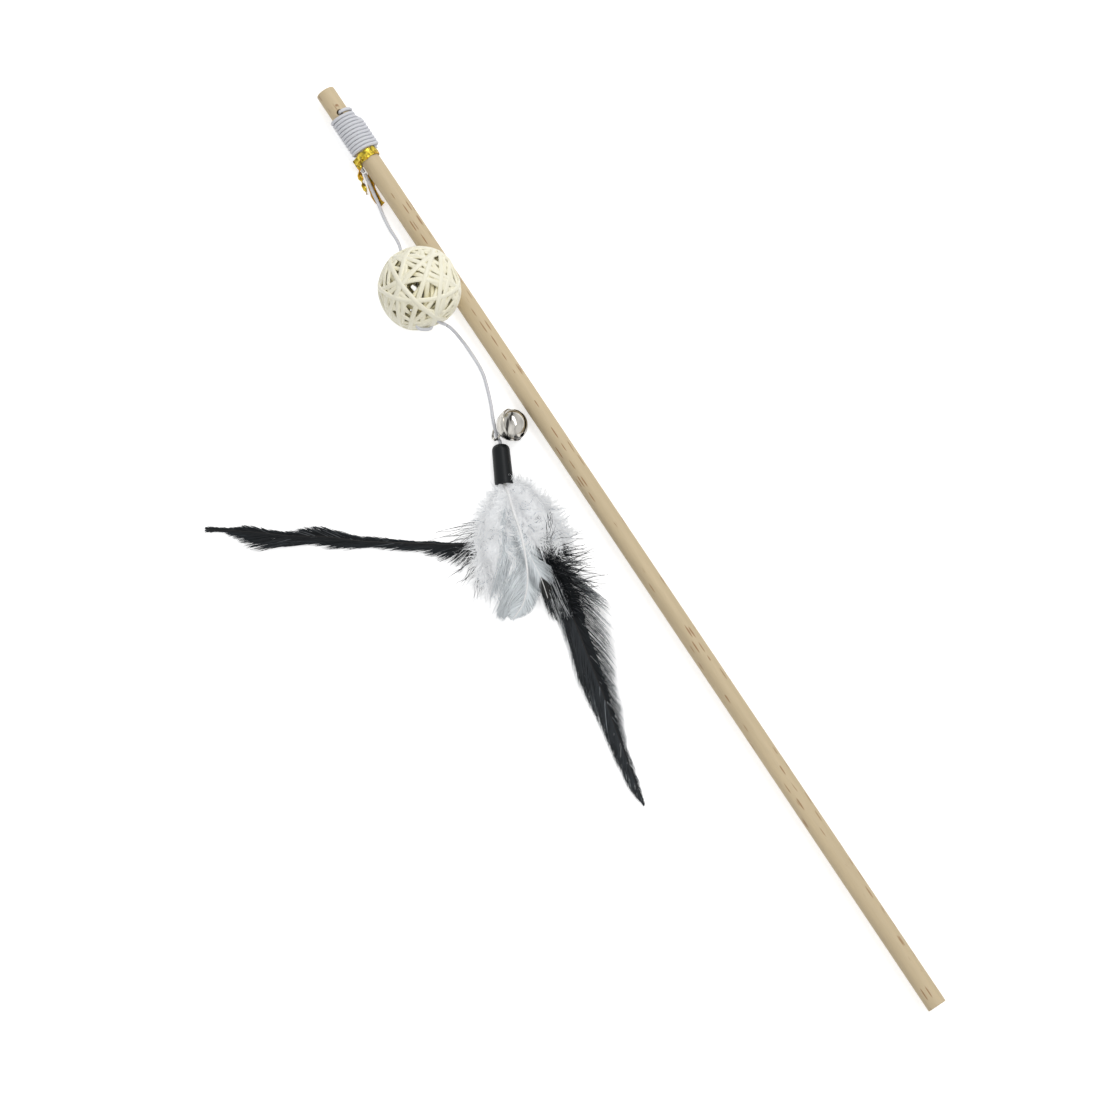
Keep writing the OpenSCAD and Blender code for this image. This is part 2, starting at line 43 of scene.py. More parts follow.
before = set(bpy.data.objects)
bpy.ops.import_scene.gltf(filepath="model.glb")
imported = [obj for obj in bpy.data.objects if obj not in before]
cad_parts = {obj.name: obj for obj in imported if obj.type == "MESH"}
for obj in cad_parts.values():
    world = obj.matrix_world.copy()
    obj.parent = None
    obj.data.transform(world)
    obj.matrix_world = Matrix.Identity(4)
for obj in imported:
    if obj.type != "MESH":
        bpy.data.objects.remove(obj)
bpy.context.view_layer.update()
MM = 0.001
STICK_LOW, STICK_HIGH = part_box("dowel")
STICK_R = STICK_HIGH.z
TIP = STICK_HIGH.x
TABLE_Z = min(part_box(name)[0].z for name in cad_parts)
UP = Vector((0, 0, 1))


# Sizes and colours that a user would change
def size(name, default, text):
    return FloatProperty(name=name, default=default, unit="LENGTH", subtype="DISTANCE", precision=5,
                         description=text)


def amount(name, default, least, most, text):
    return IntProperty(name=name, default=default, min=least, max=most, description=text)


def colour(name, default, text):
    return FloatVectorProperty(name=name, default=default, subtype="COLOR", min=0, max=1, description=text)


class WandSizes(bpy.types.PropertyGroup):
    cord_width: size("Cord width", 1.3 * MM, "Diameter of the elastic cord")
    turn_step: size("Turn step", 1.4 * MM, "Step from one wound turn to the next")
    turns: amount("Turns", 11, 4, 20, "Turns of cord on the stick")
    cane_width: size("Cane width", 1.85 * MM, "Width of one cane of the ball")
    cane_thickness: size("Cane thickness", 1.0 * MM, "Thickness of one cane of the ball")
    inner_canes: amount("Inner canes", 30, 0, 40, "Canes below the outer ones")
    barb_width: size("Barb width", 0.42 * MM, "Width of one barb of a flat feather")
    fluff_width: size("Fluff width", 0.3 * MM, "Width of one barb of the down")
    haze_width: size("Haze width", 0.06 * MM, "Width of one fine filament round the down")
    fluff_count: amount("Fluff count", 1300, 100, 6000, "Barbs of each down plume")
    haze_count: amount("Haze count", 3000, 100, 6000, "Fine filaments of each plume")
    seed: amount("Seed", 7, 0, 1000, "Start of every random choice")


class WandColours(bpy.types.PropertyGroup):
    beech: colour("Beech", (0.67, 0.54, 0.34), "Stick")
    pore: colour("Pore", (0.3, 0.14, 0.05), "Short dark pores in the stick")
    cord: colour("Cord", (0.7, 0.71, 0.75), "Elastic cord")
    foil: colour("Foil", (0.66, 0.5, 0.06), "Foil of the twist tie")
    # Painted shade: foil in shade takes this brown tone
    foil_shade: colour("Foil in shade", (0.5, 0.24, 0.02), "Foil where it turns brown")
    cane: colour("Cane", (0.95, 0.92, 0.77), "Outer face of the canes")
    # Painted shade: the darker, yellower tone of canes deep inside the ball, which the fibre lines also use
    cane_shade_and_fibre: colour("Deep cane", (0.92, 0.85, 0.55), "Canes inside the ball")
    nickel: colour("Nickel", (0.53, 0.51, 0.47), "Bell")
    vinyl: colour("Vinyl", (0.004, 0.005, 0.006), "Feather cap")
    down: colour("Down", (0.95, 0.96, 0.97), "Down plumes")
    pale: colour("Pale feather", (0.74, 0.78, 0.8), "Broad pale feather")
    dark: colour("Dark feather", (0.008, 0.01, 0.012), "Hackles")


def sizes():
    return bpy.context.scene.wand_sizes


def colours():
    return bpy.context.scene.wand_colours


# Nodes
def add(tree, kind, inputs=None, **settings):
    """Adds a node. A socket given as an input is linked, and any other value is set."""
    made = tree.nodes.new(kind)
    for key, value in settings.items():
        setattr(made, key, value)
    for key, value in (inputs or {}).items():
        socket = made.inputs[key]
        if isinstance(value, bpy.types.NodeSocket):
            tree.links.new(value, socket)
        else:
            socket.default_value = value
    return made


def result(tree, kind, inputs=None, **settings):
    """Adds a node and gives its first output."""
    return add(tree, kind, inputs, **settings).outputs[0]


def maths(tree, operation, a, b=0.0):
    return result(tree, "ShaderNodeMath", {0: a, 1: b}, operation=operation)


def times(tree, a, b):
    return maths(tree, "MULTIPLY", a, b)


def plus(tree, a, b):
    return maths(tree, "ADD", a, b)


def vector_maths(tree, operation, a, b=(0, 0, 0)):
    return result(tree, "ShaderNodeVectorMath", {0: a, 1: b}, operation=operation)


def scaled(tree, vector, factor):
    return result(tree, "ShaderNodeVectorMath", {0: vector, "Scale": factor}, operation="SCALE")


def remap(tree, value, low, high, to_low=0.0, to_high=1.0):
    return result(tree, "ShaderNodeMapRange", {0: value, 1: low, 2: high, 3: to_low, 4: to_high})


def mixed(tree, factor, a, b):
    a, b = (v if isinstance(v, bpy.types.NodeSocket) else (*v[:3], 1) for v in (a, b))
    return add(tree, "ShaderNodeMix", {0: factor, 6: a, 7: b}, data_type="RGBA").outputs[2]


def shade(colour_value, factor):
    return tuple(min(1.0, c * factor) for c in colour_value)


# Materials
# This turn lays the picture's upward direction on the x axis, and the bell's middle is that far along it
TIP_TURN = radians(33.8)
BELL_MIDDLE = 207.8 * MM
# Painted dark reflections on the bell fade in over this distance below its middle
REFLECTION_FADE = 5 * MM
# A small torn fibre near the tip of the stick: its place, how ragged it is, and where its edge fades
TEAR_PLACE = Vector((392.3, -0.3, 3.6)) * MM
TEAR_RAGGED = 0.7 * MM
TEAR_EDGE = (0.25 * MM, 0.05 * MM)
BRAID_PITCH = 0.9 * MM
# Depths of the fine relief on each material
GRAIN_RELIEF = 0.06 * MM
BRAID_RELIEF = 0.05 * MM
FOIL_RELIEF = 0.25 * MM
CANE_RELIEF = 0.05 * MM
NICKEL_RELIEF = 0.25 * MM
VINYL_RELIEF = 0.03 * MM
KNOT_RELIEF = 0.06 * MM


class Finish:
    """One material with its shader, and short calls for the textures that drive it."""

    def __init__(self, name, **sockets):
        self.material = bpy.data.materials.new(name)
        self.material.use_nodes = True
        self.tree = self.material.node_tree
        self.shader = self.tree.nodes["Principled BSDF"]
        self.place = self.tree.nodes.new("ShaderNodeTexCoord").outputs["Object"]
        for key, value in sockets.items():
            self.shader.inputs[key.replace("_", " ")].default_value = value

    def link(self, value, key):
        self.tree.links.new(value, self.shader.inputs[key])

    def stretched(self, x, y, z):
        return vector_maths(self.tree, "MULTIPLY", self.place, (x, y, z))

    def noise(self, vector, scale, detail=3.0, roughness=0.5):
        inputs = {"Vector": vector, "Scale": scale, "Detail": detail, "Roughness": roughness}
        return result(self.tree, "ShaderNodeTexNoise", inputs)

    def attribute(self, name, output="Fac"):
        return add(self.tree, "ShaderNodeAttribute", attribute_name=name).outputs[output]

    def bump(self, height, distance, strength=1.0):
        inputs = {"Height": height, "Distance": distance, "Strength": strength}
        self.link(result(self.tree, "ShaderNodeBump", inputs), "Normal")


def beech_finish():
    """Pale sanded beech: soft lengthwise bands, fine grain and sparse short dark pores."""
    f = Finish("beech", Roughness=0.55)
    t = f.tree
    band = f.noise(f.stretched(14, 260, 260), 1.0, 3)
    grain = f.noise(f.stretched(180, 4200, 4200), 1.0, 2)
    warm = mixed(t, remap(t, band, 0.3, 0.75), colours().beech, shade(colours().beech, 0.84))
    fine = mixed(t, remap(t, grain, 0.35, 0.7, 0, 0.28), warm, shade(colours().beech, 0.72))
    cells = add(t, "ShaderNodeTexVoronoi", {"Vector": f.stretched(150, 1700, 1700), "Scale": 1.0})
    rare = result(t, "ShaderNodeSeparateColor", {0: cells.outputs["Color"]})
    patch = remap(t, f.noise(f.stretched(40, 300, 300), 1.0, 1), 0.4, 0.6, 0.97, 0.76)
    spot = times(t, remap(t, cells.outputs["Distance"], 0.42, 0.34), maths(t, "GREATER_THAN", rare, patch))
    tear = add(t, "ShaderNodeVectorMath", {0: f.place, 1: TEAR_PLACE}, operation="DISTANCE")
    ragged = times(t, f.noise(f.place, 1500, 1), TEAR_RAGGED)
    torn = maths(t, "SUBTRACT", tear.outputs["Value"], ragged)
    spot = maths(t, "MAXIMUM", spot, remap(t, torn, *TEAR_EDGE))
    f.link(mixed(t, times(t, spot, 0.85), fine, colours().pore), "Base Color")
    f.bump(maths(t, "SUBTRACT", grain, times(t, spot, 2.0)), GRAIN_RELIEF, 0.35)
    return f.material


def braid_finish():
    """Braided elastic: two sets of fine slanted strands, with painted shade in the hollows of the weave and
    painted light on its crowns.
    """
    f = Finish("elastic", Roughness=0.5)
    t = f.tree
    around = add(t, "ShaderNodeSeparateXYZ", {0: f.attribute("around", "Vector")})
    angle = maths(t, "ARCTAN2", around.outputs[1], around.outputs[0])
    run = times(t, f.attribute("run"), tau / BRAID_PITCH)
    ups = maths(t, "SINE", plus(t, times(t, angle, 4.0), run))
    downs = maths(t, "SINE", maths(t, "SUBTRACT", times(t, angle, 4.0), run))
    weave = times(t, ups, downs)
    height = plus(t, weave, times(t, f.noise(f.place, 5200, 2), 0.8))
    # Painted light and shade: the tone follows the weave's relief, darker in its hollows and lighter on its
    # crowns
    tone = remap(t, weave, -0.6, 0.5)
    f.link(mixed(t, tone, shade(colours().cord, 0.8), shade(colours().cord, 1.16)), "Base Color")
    f.bump(height, BRAID_RELIEF, 0.6)
    return f.material


def foil_finish(name="gold_foil", share=0.48):
    """Creased metallised foil with painted shade: a darker tone along each crease, and brown patches. share
    is the noise level from which the painted shade turns it brown.
    """
    f = Finish(name, Metallic=1.0, Roughness=0.26)
    t = f.tree
    creases_and_shade = f.noise(f.place, 900, 4, 0.6)
    # Painted shade: patches of the brown shade tone
    brown = remap(t, f.noise(f.place, 260, 1), share, share + 0.12)
    sheet = mixed(t, brown, colours().foil, colours().foil_shade)
    # Painted shade: each crease is darkened in the base colour
    f.link(mixed(t, remap(t, creases_and_shade, 0.42, 0.62), sheet, shade(colours().foil, 0.35)), "Base Color")
    f.bump(creases_and_shade, FOIL_RELIEF, 0.7)
    return f.material


def cane_finish():
    """Split cane: smooth and cream outside, with painted shade as a darker, yellower tone on the canes deep
    inside the ball, and faint lengthwise fibres.
    """
    f = Finish("cane", Roughness=0.42)
    t = f.tree
    around = add(t, "ShaderNodeSeparateXYZ", {0: f.attribute("around", "Vector")})
    line = {0: times(t, around.outputs[0], 5.0), 1: times(t, f.attribute("run"), 60.0),
            2: f.attribute("pick")}
    fibre = f.noise(result(t, "ShaderNodeCombineXYZ", line), 1.6, 4, 0.6)
    # Painted shade: deep canes shift to the darker, yellower tone
    base = mixed(t, f.attribute("depth"), colours().cane, colours().cane_shade_and_fibre)
    lined = mixed(t, remap(t, fibre, 0.35, 0.7, 0, 0.3), base, shade(colours().cane_shade_and_fibre, 0.95))
    f.link(lined, "Base Color")
    f.bump(fibre, CANE_RELIEF, 0.4)
    return f.material


def nickel_finish(name="nickel", roughness=0.13):
    """Plated metal with painted reflections: soft grey stripes that run lengthwise, and painted dark
    reflections low on the bell.
    """
    f = Finish(name, Metallic=1.0, Roughness=roughness)
    t = f.tree
    metal = colours().nickel
    inputs = {"Vector": f.place, "Angle": TIP_TURN}
    turned = result(t, "ShaderNodeVectorRotate", inputs, rotation_type="Z_AXIS")
    upward = result(t, "ShaderNodeSeparateXYZ", {0: turned})
    low = remap(t, upward, BELL_MIDDLE, BELL_MIDDLE - REFLECTION_FADE)
    # Painted reflections: lighter and darker grey stripes in the base colour
    reflection_bands = f.noise(vector_maths(t, "MULTIPLY", turned, (170, 620, 300)), 1.0, 1)
    plain = mixed(t, remap(t, reflection_bands, 0.35, 0.65), shade(metal, 1.1), shade(metal, 0.62))
    # dark masks the painted dark reflections, strongest low on the bell
    dark = remap(t, plus(t, reflection_bands, times(t, low, 0.14)), 0.62, 0.68)
    f.link(mixed(t, dark, plain, shade(metal, 0.1)), "Base Color")
    f.bump(reflection_bands, NICKEL_RELIEF, 0.5)
    return f.material


def mottled(name, first, second, scale, detail=2, relief=0.0, strength=1.0, stretch=(1, 1, 1), **sockets):
    """Two tones mixed by noise, with the same noise as relief where a depth is given."""
    f = Finish(name, **sockets)
    cloud = f.noise(f.stretched(*stretch), scale, detail)
    f.link(mixed(f.tree, cloud, first, second), "Base Color")
    if relief:
        f.bump(cloud, relief, strength)
    return f.material


def vinyl_finish():
    """Black soft vinyl with a satin skin."""
    return mottled("black_vinyl", colours().vinyl, shade(colours().vinyl, 1.8), 2600, 3, VINYL_RELIEF, 0.25,
                   Roughness=0.42, Specular_IOR_Level=0.2)


def glue_finish():
    """Milky hot glue."""
    return mottled("glue", (0.72, 0.7, 0.62), (0.6, 0.58, 0.5), 700, Roughness=0.3)


def knot_finish():
    """Tightly pulled cord end."""
    return mottled("knot", shade(colours().cord, 0.7), colours().cord, 3000, 3, KNOT_RELIEF, 0.5,
                   Roughness=0.55)


def wire_finish():
    """Thin drawn steel."""
    return mottled("wire", (0.5, 0.5, 0.5), (0.35, 0.35, 0.35), 1.0, stretch=(300, 6000, 6000),
                   Metallic=1.0, Roughness=0.35)


def quill_finish(name, tone, roughness=0.35):
    """Smooth horn of a shaft, a little mottled."""
    return mottled(name, tone, shade(tone, 0.8), 300, Roughness=roughness)


def feather_finish(name, inner, outer, change=(0.5, 0.9), streak=(1, 1, 1), streaks=0.0, tip=None,
                   tip_from=0.9, sheen=0.0, glow=0.0):
    """Barbs that change colour outwards, each a little different. A share of them may have the streak's
    colour, and the far end of the feather the tip's. glow is a painted glow: emission in the barbs' own
    colour that stands in for light through thin barbs."""
    # The emission strength is the painted glow
    f = Finish(name, Roughness=0.6, Specular_IOR_Level=0.25, Sheen_Weight=sheen, Emission_Strength=glow)
    t = f.tree
    pick = f.attribute("pick")
    patch = maths(t, "SUBTRACT", f.noise(f.place, 160, 2), 0.5)
    start = plus(t, f.attribute("out"), times(t, patch, 0.5))
    made = mixed(t, remap(t, start, *change), inner, outer)
    made = mixed(t, remap(t, pick, 0.0, 0.8, 0.25, 0), made, shade(inner, 0.6))
    if streaks:
        made = mixed(t, maths(t, "GREATER_THAN", pick, 1 - streaks), made, streak)
    if tip:
        place = plus(t, f.attribute("along"), times(t, patch, 0.1))
        made = mixed(t, remap(t, place, tip_from, tip_from + 0.03), made, tip)
    f.link(made, "Base Color")
    # The painted glow takes the barbs' own colour
    f.link(made, "Emission Color")
    return f.material


# Paths
def smooth_path(points, count):
    """Evenly spaced points on a smooth curve through the given ones, in metres."""
    points = [Vector(p) * MM for p in points]
    held = [2 * points[0] - points[1], *points, 2 * points[-1] - points[-2]]
    fine = []
    for i in range(1, len(held) - 2):
        a, b, c, d = held[i - 1:i + 3]
        for k in range(12):
            s = k / 12
            bend = (2 * a - 5 * b + 4 * c - d) * s * s + (3 * b - a - 3 * c + d) * s ** 3
            fine.append(0.5 * (2 * b + (c - a) * s + bend))
    fine.append(held[-2])
    return even(fine, count)


def even(points, count):
    """Points at even steps along a path."""
    runs = [0.0]
    for a, b in zip(points, points[1:]):
        runs.append(runs[-1] + (b - a).length)
    found, k = [], 0
    for i in range(count):
        want = runs[-1] * i / (count - 1)
        while k < len(points) - 2 and runs[k + 1] < want:
            k += 1
        step = runs[k + 1] - runs[k]
        found.append(points[k].lerp(points[k + 1], (want - runs[k]) / step if step else 0.0))
    return found


def full_turn(count):
    """Angles at even steps round one turn."""
    return [tau * k / count for k in range(count)]


def path_length(points):
    return sum((b - a).length for a, b in zip(points, points[1:]))


def headings(points, closed=False):
    n = len(points)
    if closed:
        return [(points[(i + 1) % n] - points[i - 1]).normalized() for i in range(n)]
    return [(points[min(i + 1, n - 1)] - points[max(i - 1, 0)]).normalized() for i in range(n)]


# Meshes made along paths
def path_mesh(name, paths, closed=False, **values):
    """Edges along each path, with one value or vector for each point under each name."""
    mesh = bpy.data.meshes.new(name)
    points, edges = [], []
    for path in paths:
        first = len(points)
        points.extend(path)
        edges.extend((first + i, first + i + 1) for i in range(len(path) - 1))
        if closed:
            edges.append((len(points) - 1, first))
    mesh.from_pydata([tuple(p) for p in points], edges, [])
    for key, listed in values.items():
        flat = [v for group in listed for v in group]
        if isinstance(flat[0], Vector):
            made = mesh.attributes.new(key, "FLOAT_VECTOR", "POINT")
            made.data.foreach_set("vector", [c for v in flat for c in v])
        else:
            mesh.attributes.new(key, "FLOAT", "POINT").data.foreach_set("value", flat)
    return mesh


def new_tree(name, **inputs):
    """An empty geometry tree with named inputs, given as socket types."""
    tree = bpy.data.node_groups.new(name, "GeometryNodeTree")
    tree.interface.new_socket("Geometry", in_out="INPUT", socket_type="NodeSocketGeometry")
    for key, kind in inputs.items():
        tree.interface.new_socket(key, in_out="INPUT", socket_type="NodeSocket" + kind)
    tree.interface.new_socket("Geometry", in_out="OUTPUT", socket_type="NodeSocketGeometry")
    return tree, tree.nodes.new("NodeGroupInput").outputs, tree.nodes.new("NodeGroupOutput").inputs


def stored(tree, geometry, name, value, kind="FLOAT", domain="POINT"):
    inputs = {"Geometry": geometry, "Name": name, "Value": value}
    return result(tree, "GeometryNodeStoreNamedAttribute", inputs, data_type=kind, domain=domain)


def named(tree, name, kind="FLOAT"):
    return result(tree, "GeometryNodeInputNamedAttribute", {"Name": name}, data_type=kind)


def random_between(tree, low, high, seed):
    return add(tree, "FunctionNodeRandomValue", {"Seed": seed, 2: low, 3: high}).outputs[1]


def finished(tree, geometry, material, output):
    real = result(tree, "GeometryNodeRealizeInstances", {"Geometry": geometry})
    done = result(tree, "GeometryNodeSetMaterial", {"Geometry": real, "Material": material})
    tree.links.new(done, output)


def facing(tree, curve, normal):
    inputs = {"Curve": curve, "Normal": normal}
    return result(tree, "GeometryNodeSetCurveNormal", inputs, mode="FREE")


def circle(tree, sides):
    return result(tree, "GeometryNodeCurvePrimitiveCircle", {"Resolution": sides, "Radius": 1.0})


def flattened(tree, ring, share):
    oval = result(tree, "ShaderNodeCombineXYZ", {0: share, 1: 1.0, 2: 1.0})
    return result(tree, "GeometryNodeTransform", {"Geometry": ring, "Scale": oval})


def swept(tree, curve, ring, thickness):
    """The ring swept along the curve, with smooth faces and closed ends."""
    inputs = {"Curve": curve, "Profile Curve": ring, "Scale": thickness, "Fill Caps": True}
    body = result(tree, "GeometryNodeCurveToMesh", inputs)
    return result(tree, "GeometryNodeSetShadeSmooth", {"Geometry": body})


def shaken(tree, place, size, detail=2.0):
    """A random shift for each place, up to half a unit each way, that changes over the given size."""
    inputs = {"Vector": place, "Scale": maths(tree, "DIVIDE", 1.0, size), "Detail": detail}
    cloud = add(tree, "ShaderNodeTexNoise", inputs).outputs["Color"]
    return vector_maths(tree, "SUBTRACT", cloud, (0.5, 0.5, 0.5))


def strand_tree():
    """Sweeps an oval section along each path. Its broad face is square to the path's "side"."""
    tree, given, out = new_tree("strand", Flatness="Float", Sides="Int", Crumple="Float",
                                CrumpleSize="Float", Material="Material")
    curve = result(tree, "GeometryNodeMeshToCurve", {"Mesh": given["Geometry"]})
    curve = facing(tree, curve, named(tree, "side", "FLOAT_VECTOR"))
    curve = stored(tree, curve, "run", tree.nodes.new("GeometryNodeSplineParameter").outputs["Length"])
    place = result(tree, "GeometryNodeInputPosition")
    ring = stored(tree, circle(tree, given["Sides"]), "around", place, "FLOAT_VECTOR")
    body = swept(tree, curve, flattened(tree, ring, given["Flatness"]), named(tree, "thick"))
    shift = scaled(tree, shaken(tree, place, given["CrumpleSize"]), given["Crumple"])
    body = result(tree, "GeometryNodeSetPosition", {"Geometry": body, "Offset": shift})
    finished(tree, body, given["Material"], out[0])
    return tree


def barb_tree():
    """Grows barbs from shafts. Each point of a shaft has "reach", the barbs' length there, and "side"."""
    tree, given, out = new_tree("barbs", Count="Int", Slant="Float", Scatter="Float", Rise="Float",
                                Puff="Float", Uneven="Float", Width="Float", Flat="Float", Wave="Float",
                                WaveSize="Float", Bend="Float", Floor="Float", Seed="Int",
                                Material="Material")
    curve = result(tree, "GeometryNodeMeshToCurve", {"Mesh": given["Geometry"]})
    curve = result(tree, "GeometryNodeResampleCurve", {"Curve": curve, "Count": given["Count"]})
    curve = stored(tree, curve, "along", tree.nodes.new("GeometryNodeSplineParameter").outputs["Factor"])
    tangent = result(tree, "GeometryNodeInputTangent")

    def dice(low, high, step):
        return random_between(tree, low, high, plus(tree, given["Seed"], step))

    def between(ahead, aside, angle):
        """The direction ahead, turned aside by the angle."""
        return vector_maths(tree, "ADD", scaled(tree, aside, maths(tree, "SINE", angle)),
                            scaled(tree, ahead, maths(tree, "COSINE", angle)))

    slant = plus(tree, given["Slant"], times(tree, given["Scatter"], dice(-1.0, 1.0, 1)))
    rise = plus(tree, given["Rise"], times(tree, given["Puff"], dice(-1.0, 1.0, 2)))
    flat = between(tangent, named(tree, "side", "FLOAT_VECTOR"), slant)
    way = between(flat, (0, 0, 1), rise)
    turn = result(tree, "FunctionNodeAxesToRotation", {"Primary Axis": way, "Secondary Axis": tangent},
               primary_axis="X", secondary_axis="Y")
    shorter = times(tree, given["Uneven"], dice(0.0, 1.0, 3))
    length = times(tree, named(tree, "reach"), maths(tree, "SUBTRACT", 1.0, shorter))
    tip = result(tree, "ShaderNodeCombineXYZ", {0: 1.0, 1: given["Bend"]})
    inputs = {"Resolution": 5, "Start": (0, 0, 0), "Middle": (0.5, 0, 0), "End": tip}
    barb = result(tree, "GeometryNodeCurveQuadraticBezier", inputs)
    barb = stored(tree, barb, "out", tree.nodes.new("GeometryNodeSplineParameter").outputs["Factor"])
    inputs = {"Points": curve, "Instance": barb, "Rotation": turn, "Scale": length}
    placed = result(tree, "GeometryNodeInstanceOnPoints", inputs)
    placed = stored(tree, placed, "pick", dice(0.0, 1.0, 4), domain="INSTANCE")
    real = result(tree, "GeometryNodeRealizeInstances", {"Geometry": placed})
    place = result(tree, "GeometryNodeInputPosition")
    drift = scaled(tree, (0.4, 0.15, 0.25), times(tree, named(tree, "pick"), given["WaveSize"]))
    wave = shaken(tree, vector_maths(tree, "ADD", place, drift), given["WaveSize"], 1.0)
    shift = scaled(tree, wave, times(tree, named(tree, "out"), given["Wave"]))
    moved = add(tree, "ShaderNodeSeparateXYZ", {0: vector_maths(tree, "ADD", place, shift)}).outputs
    height = maths(tree, "MAXIMUM", moved[2], given["Floor"])
    kept = result(tree, "ShaderNodeCombineXYZ", {0: moved[0], 1: moved[1], 2: height})
    real = result(tree, "GeometryNodeSetPosition", {"Geometry": real, "Position": kept})
    taper = remap(tree, named(tree, "out"), 0.55, 1.0, 1.0, 0.25)
    ring = flattened(tree, circle(tree, 3), given["Flat"])
    body = swept(tree, facing(tree, real, (0, 0, 1)), ring, times(tree, taper, given["Width"]))
    finished(tree, body, given["Material"], out[0])
    return tree


def grown(name, mesh, tree, **values):
    """The plain mesh that a tree makes from a base mesh, as an object at the origin."""
    base = linked(name + "_base", mesh)
    grower = base.modifiers.new("grow", "NODES")
    grower.node_group = tree
    for item in tree.interface.items_tree:
        if item.in_out == "INPUT" and item.name in values:
            grower[item.identifier] = values[item.name]
    bpy.context.view_layer.update()
    evaluated = base.evaluated_get(bpy.context.evaluated_depsgraph_get())
    made = bpy.data.meshes.new_from_object(evaluated)
    base.modifiers.remove(grower)
    bpy.data.objects.remove(base)
    made.name = name
    if not made.polygons:
        raise RuntimeError(name + " came out empty")
    return as_piece(name, made)


def linked(name, data):
    """A new object in the scene."""
    obj = bpy.data.objects.new(name, data)
    bpy.context.scene.collection.objects.link(obj)
    return obj


def as_piece(name, mesh, material=None):
    obj = linked(name, mesh)
    if material:
        mesh.materials.clear()
        mesh.materials.append(material)
    return obj


def once(kind, make):
    """The tree or material of that name, made when it is first asked for."""
    cache = once.__dict__.setdefault("made", {})
    if kind not in cache:
        cache[kind] = make()
    return cache[kind]


def strands(name, paths, radius, material, flatness=1.0, sides=12, closed=False, side=None, crumple=0.0,
            crumple_size=MM, **values):
    """A piece made of tubes or strips. radius is one length, or one for each point of each path."""
    thick = radius if isinstance(radius, list) else [[radius] * len(p) for p in paths]
    if side is None:
        side = [[v.orthogonal().normalized() for v in headings(p, closed)] for p in paths]
        side = [carried(p, s[0], closed) for p, s in zip(paths, side)]
    mesh = path_mesh(name, paths, closed, thick=thick, side=side, **values)
    return grown(name, mesh, once("strand", strand_tree), Flatness=flatness, Sides=sides, Crumple=crumple,
                 CrumpleSize=crumple_size, Material=material)


def carried(path, start, closed=False):
    """A side direction carried along a path without twist."""
    found, u = [], start
    for h in headings(path, closed):
        u = (u - h * u.dot(h)).normalized()
        found.append(u)
    return found


def dress(node, material):
    """Gives a CAD node its material."""
    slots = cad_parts[node].data.materials
    slots.clear()
    slots.append(material)


# Camera, floor and light
IMAGE_SIDE = 1100
FOCAL_PIXELS = 4047
CAMERA_PLACE = Vector((0.22, 163.41, 1434.78)) * MM
CAMERA_TARGET = Vector((211.736, 24.606, 0)) * MM
PICTURE_TURN = radians(-0.545)
TIP_WAY = Vector((0.8308, -0.5566, 0))
SENSOR = 36.0
TABLE_HALF = 3.0
TABLE_CORNERS = ((-1, -1), (1, -1), (1, 1), (-1, 1))
TABLE_GLOW = 0.56
SURROUNDINGS_IN_GLOSS = 0.92
SURROUNDINGS_LIGHT = 0.45
LIGHT_TARGET = Vector((0.2, 0.03, 0))


def camera():
    back = (CAMERA_PLACE - CAMERA_TARGET).normalized()
    right = TIP_WAY.cross(UP)
    right = Matrix.Rotation(-PICTURE_TURN, 3, "Z") @ right
    right = (right - back * right.dot(back)).normalized()
    data = bpy.data.cameras.new("camera")
    data.sensor_width = SENSOR
    data.lens = SENSOR * FOCAL_PIXELS / IMAGE_SIDE
    data.clip_end = 10
    obj = linked("camera", data)
    turn = Matrix((right, back.cross(right), back)).transposed().to_4x4()
    obj.matrix_world = Matrix.Translation(CAMERA_PLACE) @ turn
    bpy.context.scene.camera = obj


def area_light(name, place, energy, width, height, roll=0.0):
    data = bpy.data.lights.new(name, "AREA")
    data.energy = energy
    data.shape = "RECTANGLE"
    data.size = width
    data.size_y = height
    obj = linked(name, data)
    obj.location = place
    obj.rotation_euler = (LIGHT_TARGET - obj.location).to_track_quat("-Z", "Y").to_euler()
    obj.rotation_euler.rotate_axis("Z", roll)


class WAND_OT_stage(bpy.types.Operator):
    """Adds the camera, the table, the light and the pale surroundings"""
    bl_idname = "wand.stage"
    bl_label = "Stage"

    def execute(self, context):
        camera()
        mesh = bpy.data.meshes.new("table")
        corners = [(x * TABLE_HALF, y * TABLE_HALF, TABLE_Z) for x, y in TABLE_CORNERS]
        mesh.from_pydata(corners, [], [(0, 1, 2, 3)])
        as_piece("table", mesh, table_finish())
        area_light("window", (0.5, -0.7, 1.3), energy=13, width=2.2, height=0.35, roll=radians(-35))
        area_light("fill", (-0.3, 0.9, 1.1), energy=4, width=2.2, height=2.2)
        world = bpy.data.worlds.new("surroundings")
        world.use_nodes = True
        context.scene.world = world
        t = world.node_tree
        rays = t.nodes.new("ShaderNodeLightPath").outputs
        seen = maths(t, "MAXIMUM", rays["Is Camera Ray"], rays["Is Transmission Ray"])
        shown = maths(t, "MAXIMUM", seen, times(t, rays["Is Glossy Ray"], SURROUNDINGS_IN_GLOSS))
        strength = maths(t, "MAXIMUM", shown, SURROUNDINGS_LIGHT)
        t.links.new(strength, t.nodes["Background"].inputs["Strength"])
        t.nodes["Background"].inputs["Color"].default_value = (1, 1, 1, 1)
        context.scene.view_settings.view_transform = "Standard"
        return {"FINISHED"}


